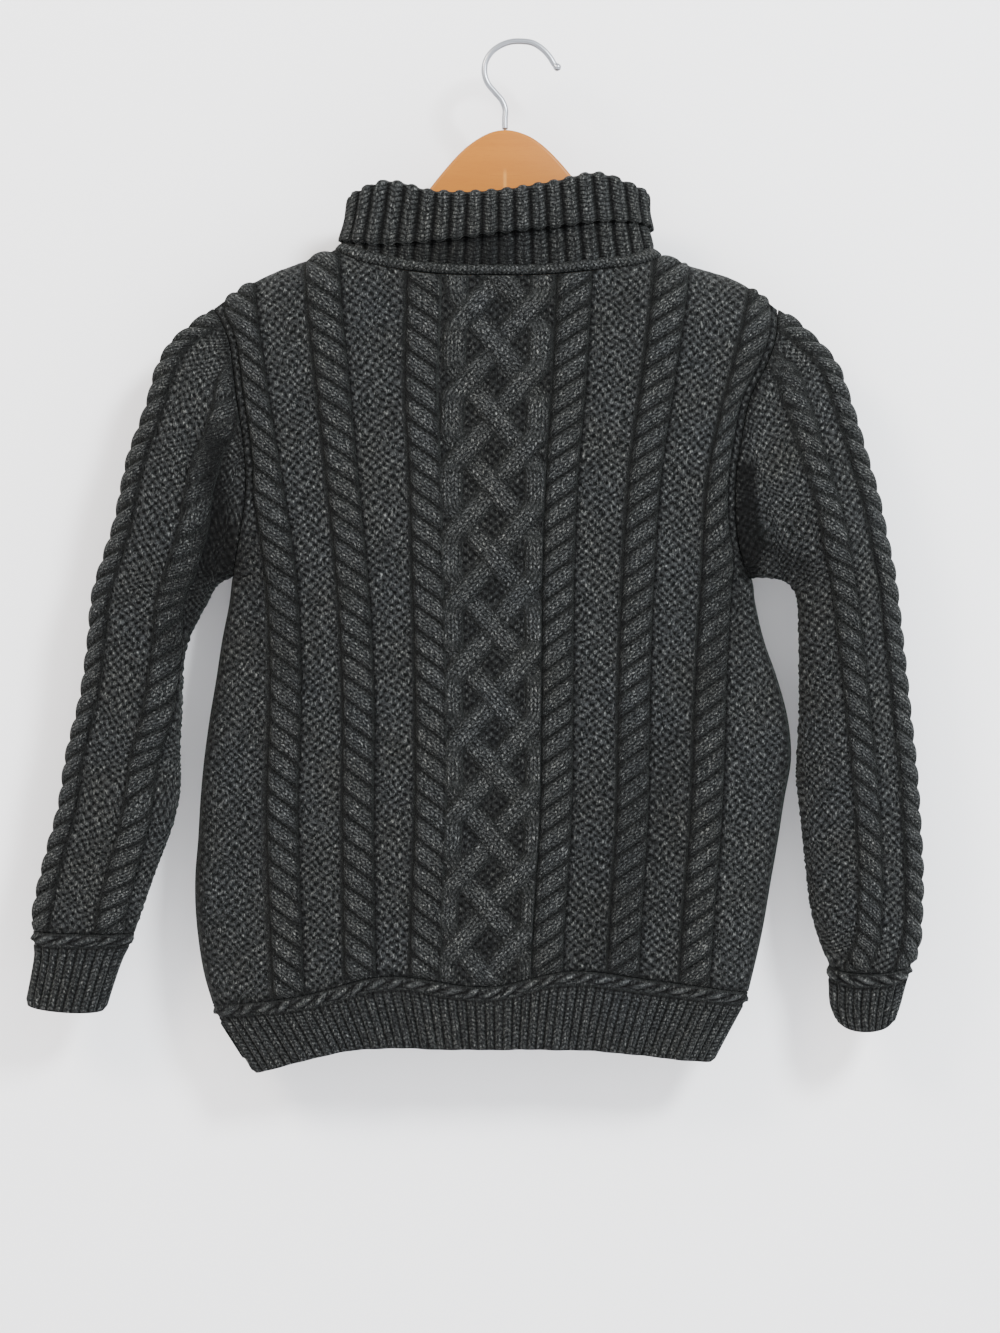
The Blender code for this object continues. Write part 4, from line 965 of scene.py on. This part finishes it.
def make_hook(radius):
    """Round wire along a smooth route, closed by shrinking rings, with a ball at its tip."""
    route = np.asarray(HOOK_ROUTE, float) * MM
    run = np.r_[0, np.cumsum(np.hypot(*np.diff(route, axis=0).T))]
    where = np.linspace(0, run[-1], 150)
    x, z = smooth(run, route[:, 0], where), -smooth(run, route[:, 1], where)
    along = unit(np.stack((np.gradient(x), np.gradient(z)), 1))
    to_tip = run[-1] - where
    ball = np.sqrt(np.clip(1 - ((to_tip - TIP_AT) / TIP_HALF) ** 2, 0, 1)) * radius * TIP_WIDE
    size = np.maximum(np.where(to_tip > TIP_AT, radius, 0), ball)
    size[[0, -1]] = 0.00002
    angle = np.linspace(0, 2 * math.pi, 20, endpoint=False)
    side = np.stack((-along[:, 1], 0 * x, along[:, 0]), 1)[:, None, :]
    centre = np.stack((x, 0 * x, z), 1)[:, None, :]
    grid = centre + size[:, None, None] * (np.cos(angle)[None, :, None] * side
                                           + np.sin(angle)[None, :, None]
                                           * np.array((0, 1.0, 0)))
    rows, cols = grid.shape[:2]
    numbers = np.arange(rows * cols).reshape(rows, cols)
    points = np.vstack((grid.reshape(-1, 3), centre[0], centre[-1]))
    top, tip = numbers[0], numbers[-1]
    first = np.stack((np.roll(top, -1), top, np.full(cols, rows * cols)), 1)
    last = np.stack((tip, np.roll(tip, -1), np.full(cols, rows * cols + 1)), 1)
    out = (outward(grid, True) * (grid - centre)).sum()
    return mesh_piece("wire_hook", points, quads_of(looped(numbers)), np.vstack((first, last)), (),
                      flip=bool(out < 0))


# Materials

def add(tree, kind, **values):
    """A new shader node. Names of its properties and of its inputs may both be given."""
    made = tree.nodes.new(kind)
    for label, value in values.items():
        if hasattr(made, label):
            setattr(made, label, value)
        else:
            fill(tree, made.inputs[label], value)
    return made


def finish_shader(tree, shader, colour, height, strength, depth, **constants):
    """Colour, bump and constants of a Principled shader; _ stands for a blank in names."""
    tree.links.new(colour, shader.inputs["Base Color"])
    bump = add(tree, "ShaderNodeBump", Strength=strength, Distance=depth, Height=height)
    tree.links.new(bump.outputs[0], shader.inputs["Normal"])
    for label, value in constants.items():
        shader.inputs[label.replace("_", " ")].default_value = value


def noise(tree, place, **values):
    return add(tree, "ShaderNodeTexNoise", Vector=place, **values).outputs["Fac"]


def fill(tree, socket, value):
    """Links a value that is another node's output, or else sets it."""
    if isinstance(value, bpy.types.NodeSocket):
        tree.links.new(value, socket)
    else:
        socket.default_value = value


def math_node(tree, operation, *values):
    made = tree.nodes.new("ShaderNodeMath")
    made.operation = operation
    for socket, value in zip(made.inputs, values):
        fill(tree, socket, value)
    return made.outputs[0]


def map_range(tree, value, low, high, first=0.0, last=1.0):
    """A value brought from low to high onto first to last, and held there beyond them."""
    made = tree.nodes.new("ShaderNodeMapRange")
    for socket, part in zip(made.inputs, (value, low, high, first, last)):
        fill(tree, socket, part)
    return made.outputs[0]


def new_group(name, inputs, outputs):
    """An empty node group with named sockets, and its input and output nodes."""
    tree = bpy.data.node_groups.new(name, "ShaderNodeTree")
    for label, kind, value in inputs:
        socket = tree.interface.new_socket(label, in_out="INPUT", socket_type=kind)
        if value is not None:
            socket.default_value = value
    for label, kind in outputs:
        tree.interface.new_socket(label, in_out="OUTPUT", socket_type=kind)
    return tree, tree.nodes.new("NodeGroupInput"), tree.nodes.new("NodeGroupOutput")


def use_group(tree, group, **values):
    made = tree.nodes.new("ShaderNodeGroup")
    made.node_tree = group
    for label, value in values.items():
        fill(tree, made.inputs[label.replace("_", " ")], value)
    return made


def mix_colour(tree, factor, first, second, blend="MIX"):
    made = tree.nodes.new("ShaderNodeMix")
    made.data_type, made.blend_type = "RGBA", blend
    for index, value in ((0, factor), (6, first), (7, second)):
        fill(tree, made.inputs[index], value)
    return made.outputs[2]


def heather_group():
    """Heathered yarn: dark and light fibres mixed by fine noise, with rarer pale flecks and
    a slow drift from olive to blue."""
    tree, start, end = new_group(
        "heathered yarn",
        (("Place", "NodeSocketVector", None), ("Dark", "NodeSocketColor", (0, 0, 0, 1)),
         ("Light", "NodeSocketColor", (1, 1, 1, 1)), ("Fleck", "NodeSocketColor", (1, 1, 1, 1)),
         ("Fleck Share", "NodeSocketFloat", 0.3)),
        (("Color", "NodeSocketColor"), ("Fibre", "NodeSocketFloat")))
    given = start.outputs
    fine = noise(tree, given["Place"], Scale=620.0, Detail=4.0, Roughness=0.65)
    base = mix_colour(tree, map_range(tree, fine, 0.39, 0.67), given["Dark"], given["Light"])
    stretch = add(tree, "ShaderNodeMapping", Vector=given["Place"], Rotation=(0.2, 0.5, 0.3),
                  Scale=(1.0, 1.0, 0.38))
    hairs = noise(tree, stretch.outputs[0], Scale=1150.0, Detail=2.0, Distortion=0.8)
    flecks = math_node(tree, "MULTIPLY", map_range(tree, hairs, 0.56, 0.72),
                       given["Fleck Share"])
    marled = mix_colour(tree, flecks, base, given["Fleck"])
    slow = noise(tree, given["Place"], Scale=26.0, Detail=2.0)
    tint = mix_colour(tree, slow, (0.95, 0.99, 1.06, 1), (1.05, 1.02, 0.94, 1))
    shade = mix_colour(tree, 1.0, marled, tint, "MULTIPLY")
    tree.links.new(shade, end.inputs["Color"])
    tree.links.new(fine, end.inputs["Fibre"])
    return tree


def stitch_group():
    """Stitches from yarn coordinates. Moss: sin(pi u) sin(pi v). Knit: legs of a V, whose
    height falls towards each stitch's end and towards the wale's middle and edges."""
    tree, start, end = new_group(
        "knit stitches",
        (("Yarn", "NodeSocketVector", None), ("Strand", "NodeSocketFloat", 0.0)),
        (("Height", "NodeSocketFloat"),))
    parts = add(tree, "ShaderNodeSeparateXYZ", Vector=start.outputs["Yarn"])
    u, v = parts.outputs[0], parts.outputs[1]

    def of(operation, *values):
        return math_node(tree, operation, *values)

    waves = [of("SINE", of("MULTIPLY", place, math.pi)) for place in (u, v)]
    moss = of("MULTIPLY_ADD", of("MULTIPLY", *waves), 0.5, 0.44)
    centred = of("SUBTRACT", of("FRACT", of("ADD", u, 0.5)), 0.5)
    off = of("MULTIPLY", of("ABSOLUTE", centred), 2.0)
    lifted = of("ADD", v, of("MULTIPLY", off, 0.8))
    along = of("MULTIPLY", of("ABSOLUTE", of("SUBTRACT", of("FRACT", lifted), 0.5)), 2.0)
    leg = of("MULTIPLY_ADD", of("SINE", of("MULTIPLY", off, math.pi)), 0.8, 0.28)
    knit = of("MULTIPLY", of("SUBTRACT", 1.0, of("POWER", along, 3.4)), leg)
    both = add(tree, "ShaderNodeMix", data_type="FLOAT")
    tree.links.new(start.outputs["Strand"], both.inputs[0])
    tree.links.new(moss, both.inputs[2])
    tree.links.new(knit, both.inputs[3])
    tree.links.new(both.outputs[0], end.inputs["Height"])
    return tree


def new_material(name):
    material = bpy.data.materials.new(name)
    material.use_nodes = True
    tree = material.node_tree
    return material, tree, tree.nodes["Principled BSDF"]


def wool_material(name, settings):
    """Heathered knitting wool: colour from its fibres, with painted light on the stitches' crests
    and painted shade between stitches, in the grooves of the relief, along the seams and in the
    folds' troughs, with stitches and fibres as bump and a soft sheen."""
    material, tree, shader = new_material(name)
    groups = bpy.data.node_groups
    place = add(tree, "ShaderNodeTexCoord").outputs["Object"]
    yarn = add(tree, "ShaderNodeUVMap", uv_map="yarn").outputs[0]
    # the second attribute holds the share of painted shade
    strand, painted_shade = (add(tree, "ShaderNodeAttribute", attribute_name=label).outputs["Fac"]
                      for label in ("strand", "painted_shade"))
    heather = use_group(tree, groups["heathered yarn"], Place=place,
                        Dark=(*settings.wool_dark, 1), Light=(*settings.wool_light, 1),
                        Fleck=(*settings.wool_fleck, 1), Fleck_Share=settings.fleck_share)
    stitches = use_group(tree, groups["knit stitches"], Yarn=yarn, Strand=strand)
    high = stitches.outputs["Height"]
    # painted light and shade from stitch height: the colour is multiplied by a grey that is
    # lighter on the stitches' crests and darker between them
    lit = math_node(tree, "MULTIPLY_ADD", high, 1.25, 0.12)
    # the painted shade share darkens the colour further, by up to 92 percent, in grooves, between
    # strands, along seams and in fold troughs
    unshaded_share = math_node(tree, "SUBTRACT", 1.0, math_node(tree, "MULTIPLY", painted_shade, 0.92))
    shade = math_node(tree, "MULTIPLY", lit, unshaded_share)
    grey = add(tree, "ShaderNodeCombineColor", Red=shade, Green=shade, Blue=shade).outputs[0]
    colour = mix_colour(tree, 1.0, heather.outputs["Color"], grey, "MULTIPLY")
    relief = math_node(tree, "MULTIPLY_ADD", heather.outputs["Fibre"], 0.9, high)
    finish_shader(tree, shader, colour, relief, 0.9, STITCH_DEPTH, Roughness=0.94,
                  Specular_IOR_Level=0.08, Sheen_Weight=0.035, Sheen_Roughness=0.45,
                  Sheen_Tint=(0.62, 0.66, 0.62, 1))
    return material


def beech_material(settings):
    """Varnished beech in two halves that meet at the hump's middle: fine grain that runs
    down and outwards on each half, short darker flecks and a pale line at the joint."""
    material, tree, shader = new_material("varnished_beech")
    place = add(tree, "ShaderNodeTexCoord").outputs["Object"]
    parts = add(tree, "ShaderNodeSeparateXYZ", Vector=place)
    off = math_node(tree, "SUBTRACT", parts.outputs[0], HUMP_AT[0])
    side = math_node(tree, "ABSOLUTE", off)
    folded = add(tree, "ShaderNodeCombineXYZ", X=side, Y=parts.outputs[1], Z=parts.outputs[2])
    grain = add(tree, "ShaderNodeMapping", Vector=folded.outputs[0], Rotation=(0, -0.95, 0),
                Scale=(1.0, 1.0, 9.0)).outputs[0]
    wide = noise(tree, grain, Scale=22.0, Detail=4.0, Distortion=0.6)
    fine = noise(tree, grain, Scale=150.0, Detail=3.0)
    colour = mix_colour(tree, wide, (*settings.wood_light, 1), (*settings.wood_dark, 1))
    colour = mix_colour(tree, map_range(tree, fine, 0.56, 0.74, 0.0, 0.35), colour,
                        (0.20, 0.06, 0.004, 1))
    joint = map_range(tree, side, 0.0003, 0.0016, 0.4, 0.0)
    level = math_node(tree, "ABSOLUTE", math_node(tree, "ADD", parts.outputs[2], HUMP_AT[1]))
    seam = math_node(tree, "MULTIPLY", joint, map_range(tree, level, 0.008, 0.013, 1.0, 0.0))
    colour = mix_colour(tree, seam, colour, (0.50, 0.24, 0.05, 1))
    finish_shader(tree, shader, colour, fine, 0.12, 0.0003, Roughness=0.42,
                  Specular_IOR_Level=0.2, Coat_Weight=0.04, Coat_Roughness=0.3)
    return material


def steel_material(settings):
    """Plated wire: grey metal whose roughness and colour wander a little along it."""
    material, tree, shader = new_material("plated_wire")
    place = add(tree, "ShaderNodeTexCoord").outputs["Object"]
    wander = noise(tree, place, Scale=160.0, Detail=3.0)
    tint = mix_colour(tree, wander, (*settings.steel, 1),
                      tuple(0.72 * part for part in settings.steel) + (1,))
    rough = map_range(tree, wander, 0.0, 1.0, 0.24, 0.42)
    tree.links.new(rough, shader.inputs["Roughness"])
    finish_shader(tree, shader, tint, wander, 0.15, 0.0002, Metallic=1.0)
    return material


# Settings

def length(label, text, value):
    return bpy.props.FloatProperty(name=label, description=text, default=value, min=0.0,
                                   subtype="DISTANCE", unit="LENGTH", precision=5)


def colour(label, text, value):
    return bpy.props.FloatVectorProperty(name=label, description=text, default=value, size=3,
                                         min=0.0, max=1.0, subtype="COLOR")


def share(label, text, value, top=1.0):
    return bpy.props.FloatProperty(name=label, description=text, default=value, min=0.0,
                                   max=top)


class SweaterSettings(bpy.types.PropertyGroup):
    """Sizes and colours of the knitted cloth."""
    wall: length("Cloth", "Thickness behind the raised pattern", 0.003)
    rope_high: length("Rope height", "Height of a rope cable above the wall", 0.0044)
    plait_high: length("Plait height", "Height of the plait's strands", 0.0042)
    rib_high: length("Rib height", "Height of a rib above its furrow", 0.0019)
    chain_high: length("Chain height", "Height of the ridge over the ribs", 0.0032)
    moss_high: length("Moss height", "Height of the moss stitch bumps", 0.0014)
    stitch_width: length("Stitch width", "Width of one stitch", 0.0033)
    row_height: length("Row height", "Height of one row of stitches", 0.0028)
    wool_dark: colour("Dark fibres", "Darkest fibres of the yarn", (0.0025, 0.003, 0.003))
    wool_light: colour("Light fibres", "Common lighter fibres", (0.029, 0.030, 0.030))
    wool_fleck: colour("Flecks", "Rare pale fibres", (0.150, 0.153, 0.145))
    fleck_share: share("Fleck share", "How strongly the pale fibres show", 0.6)


class HangerSettings(bpy.types.PropertyGroup):
    """Sizes and colours of the hanger."""
    wire_radius: length("Wire radius", "Radius of the hook's wire", 0.002)
    edge_round: length("Edge rounding", "Radius of the wood's edges", 0.0022)
    wood_light: colour("Light wood", "Wood between the grain lines", (0.29, 0.102, 0.004))
    wood_dark: colour("Dark wood", "Wood in the grain lines", (0.24, 0.076, 0.003))
    steel: colour("Wire", "Colour of the plated wire", (0.33, 0.34, 0.36))


class StudioSettings(bpy.types.PropertyGroup):
    """Backdrop, lights and camera."""
    wall_colour: colour("Backdrop", "Colour of the backdrop", (0.86, 0.85, 0.85))
    floor_colour: colour("Floor", "Colour of the floor", (0.80, 0.80, 0.82))
    key_power: bpy.props.FloatProperty(name="Key light", description="Power of the main light",
                                       default=100.0, min=0.0, unit="POWER")
    fill_power: bpy.props.FloatProperty(name="Fill light", description="Power of the fill",
                                        default=52.0, min=0.0, unit="POWER")
    far_power: bpy.props.FloatProperty(name="Far light", default=80.0, min=0.0, unit="POWER",
                                       description="Power of the light on the hidden side")
    sky: share("Sky", "Strength of the even light from all round", 1.9, 5.0)
    lens: bpy.props.FloatProperty(name="Lens", description="Focal length on a 36 mm frame",
                                  default=70.0, min=10.0, unit="CAMERA")


def wool():
    """The wool material, made once."""
    name = "heathered_wool"
    return bpy.data.materials.get(name) or wool_material(name, bpy.context.scene.sweater)


# Operators

class SWEATER_OT_materials(bpy.types.Operator):
    """Makes the shared shader groups of yarn and stitches"""
    bl_idname = "sweater.materials"
    bl_label = "Yarn and stitches"

    def execute(self, context):
        heather_group()
        stitch_group()
        return {"FINISHED"}


class SWEATER_OT_panels(bpy.types.Operator):
    """Makes the cabled back and front"""
    bl_idname = "sweater.panels"
    bl_label = "Back and front"

    def execute(self, context):
        settings = context.scene.sweater
        back = make_panel("cabled_back", BACK, 1, PANEL_ROWS[0], settings)
        front = make_panel("cabled_front", FRONT, 2, PANEL_ROWS[1], settings)
        dress(back, wool(), "charcoal_wool", "back")
        dress(front, wool(), "charcoal_wool", "front")
        return {"FINISHED"}


class SWEATER_OT_sleeves(bpy.types.Operator):
    """Makes both sleeves and their ribbed cuffs"""
    bl_idname = "sweater.sleeves"
    bl_label = "Sleeves and cuffs"

    def execute(self, context):
        settings = context.scene.sweater
        for name, table, cuff_table, left in (("left", LEFT_SLEEVE, LEFT_CUFF, True),
                                              ("right", RIGHT_SLEEVE, RIGHT_CUFF, False)):
            sleeve, edge, edge_out = make_sleeve("cabled_sleeve_" + name, table, left, settings)
            cuff = make_cuff("ribbed_cuff_" + name, cuff_table, edge, edge_out, settings)
            dress(sleeve, wool(), "charcoal_wool", "sleeve_" + name)
            dress(cuff, wool(), "charcoal_wool", "cuff_" + name)
        return {"FINISHED"}


class SWEATER_OT_hem(bpy.types.Operator):
    """Makes the ribbed hem with its chain ridge"""
    bl_idname = "sweater.hem"
    bl_label = "Hem"

    def execute(self, context):
        hem = make_hem(context.scene.sweater)
        dress(hem, wool(), "charcoal_wool", "hem_band")
        return {"FINISHED"}


class SWEATER_OT_collar(bpy.types.Operator):
    """Makes the picked-up neck edge and the folded roll collar"""
    bl_idname = "sweater.collar"
    bl_label = "Neck edge and collar"

    def execute(self, context):
        settings = context.scene.sweater
        band, edge, out = make_neck_band(settings)
        base, base_out = even_loop(edge, out, COLLAR_RIBS * COLLAR_FINE)
        collar = make_collar(base, base_out, settings)
        dress(band, wool(), "charcoal_wool", "neck_band")
        dress(collar, wool(), "charcoal_wool", "collar")
        return {"FINISHED"}


class SWEATER_OT_hanger(bpy.types.Operator):
    """Makes the wooden hanger and its wire hook"""
    bl_idname = "sweater.hanger"
    bl_label = "Hanger"

    def execute(self, context):
        settings = context.scene.hanger
        dress(make_hanger_wood(settings.edge_round), beech_material(settings), "beech",
              "hanger_wood")
        dress(make_hook(settings.wire_radius), steel_material(settings), "steel_wire",
              "hanger_hook")
        return {"FINISHED"}


def plane(name, corners, material):
    mesh = bpy.data.meshes.new(name)
    mesh.from_pydata(corners, [], [(0, 1, 2, 3)])
    mesh.materials.append(material)
    put(name, mesh)


def backdrop_material(name, tone, one_sided):
    """Matt paint with faint mottling. A one-sided one is clear from behind and lets
    light through to the hidden side."""
    material, tree, shader = new_material(name)
    place = add(tree, "ShaderNodeTexCoord").outputs["Object"]
    mottle = noise(tree, place, Scale=9.0, Detail=3.0)
    dim = tuple(0.975 * part for part in tone)
    tree.links.new(mix_colour(tree, mottle, (*tone, 1), (*dim, 1)),
                   shader.inputs["Base Color"])
    shader.inputs["Roughness"].default_value = 0.9
    if one_sided:
        clear = add(tree, "ShaderNodeBsdfTransparent")
        facing = add(tree, "ShaderNodeNewGeometry").outputs["Backfacing"]
        shadow = add(tree, "ShaderNodeLightPath").outputs["Is Shadow Ray"]
        both = add(tree, "ShaderNodeMixShader")
        parts = (math_node(tree, "MAXIMUM", facing, shadow), shader.outputs[0],
                 clear.outputs[0])
        for socket, part in zip(both.inputs, parts):
            tree.links.new(part, socket)
        output = next(item for item in tree.nodes if item.type == "OUTPUT_MATERIAL")
        tree.links.new(both.outputs[0], output.inputs["Surface"])
    return material


def area_light(name, place, size, power, tone):
    """A round lamp that looks at the sweater's middle."""
    light = bpy.data.lights.new(name, "AREA")
    light.shape = "DISK"
    light.size, light.energy, light.color = size, power, tone
    item = put(name, light)
    item.location = place
    item.rotation_mode = "QUATERNION"
    way = np.array(LIGHT_AIM) - np.array(place)
    item.rotation_quaternion = Vector(way).to_track_quat("-Z", "Y")


class SWEATER_OT_stage(bpy.types.Operator):
    """Makes the backdrop, floor, lights and camera"""
    bl_idname = "sweater.stage"
    bl_label = "Stage"

    def execute(self, context):
        scene, settings = context.scene, context.scene.studio
        far, low = STAGE_REACH, FLOOR_AT
        plane("backdrop", ((-far, WALL_AT, low), (far, WALL_AT, low),
                           (far, WALL_AT, STAGE_TOP), (-far, WALL_AT, STAGE_TOP)),
              backdrop_material("backdrop_paint", settings.wall_colour, True))
        plane("floor", ((-far, -far, low), (far, -far, low), (far, far, low), (-far, far, low)),
              backdrop_material("floor_paint", settings.floor_colour, False))
        area_light("key", (1.05, -1.7, 0.75), 0.55, settings.key_power, (0.91, 0.96, 1.0))
        area_light("fill", (-1.3, -1.6, 0.9), 0.8, settings.fill_power, (1.0, 0.90, 0.80))
        area_light("far_side", (0.5, 2.2, 0.9), 1.2, settings.far_power, (1.0, 1.0, 1.0))
        world = bpy.data.worlds.new("studio")
        world.use_nodes = True
        sky = world.node_tree.nodes["Background"]
        sky.inputs["Color"].default_value = (0.94, 0.965, 1.0, 1)
        sky.inputs["Strength"].default_value = settings.sky
        scene.world = world
        camera = bpy.data.cameras.new("camera")
        camera.sensor_width, camera.lens = SENSOR, settings.lens
        item = put("camera", camera)
        away = VIEW_HEIGHT * settings.lens / SENSOR
        item.location = (VIEW_MIDDLE[0], VIEW_PLANE - away, VIEW_MIDDLE[1])
        item.rotation_euler = (math.pi / 2, 0, 0)
        scene.camera = item
        return {"FINISHED"}


class SWEATER_PT_panel(bpy.types.Panel):
    """Lists the settings and the steps that make the sweater"""
    bl_idname = "SWEATER_PT_panel"
    bl_label = "Cable knit sweater"
    bl_space_type = "VIEW_3D"
    bl_region_type = "UI"
    bl_category = "Sweater"

    def draw(self, context):
        for step in STEPS:
            self.layout.operator(step)
        for group in (context.scene.sweater, context.scene.hanger, context.scene.studio):
            box = self.layout.box()
            for label in group.__annotations__:
                box.prop(group, label)


STEPS = ("sweater.materials", "sweater.panels", "sweater.sleeves", "sweater.hem",
         "sweater.collar", "sweater.hanger", "sweater.stage")
CLASSES = (SweaterSettings, HangerSettings, StudioSettings, SWEATER_OT_materials,
           SWEATER_OT_panels, SWEATER_OT_sleeves, SWEATER_OT_hem, SWEATER_OT_collar,
           SWEATER_OT_hanger, SWEATER_OT_stage, SWEATER_PT_panel)


def register():
    for item in CLASSES:
        bpy.utils.register_class(item)
    bpy.types.Scene.sweater = bpy.props.PointerProperty(type=SweaterSettings)
    bpy.types.Scene.hanger = bpy.props.PointerProperty(type=HangerSettings)
    bpy.types.Scene.studio = bpy.props.PointerProperty(type=StudioSettings)


def unregister():
    for label in ("sweater", "hanger", "studio"):
        delattr(bpy.types.Scene, label)
    for item in reversed(CLASSES):
        bpy.utils.unregister_class(item)


def main():
    register()
    for step in STEPS:
        family, action = step.split(".")
        getattr(getattr(bpy.ops, family), action)()


if __name__ == "__main__":
    main()
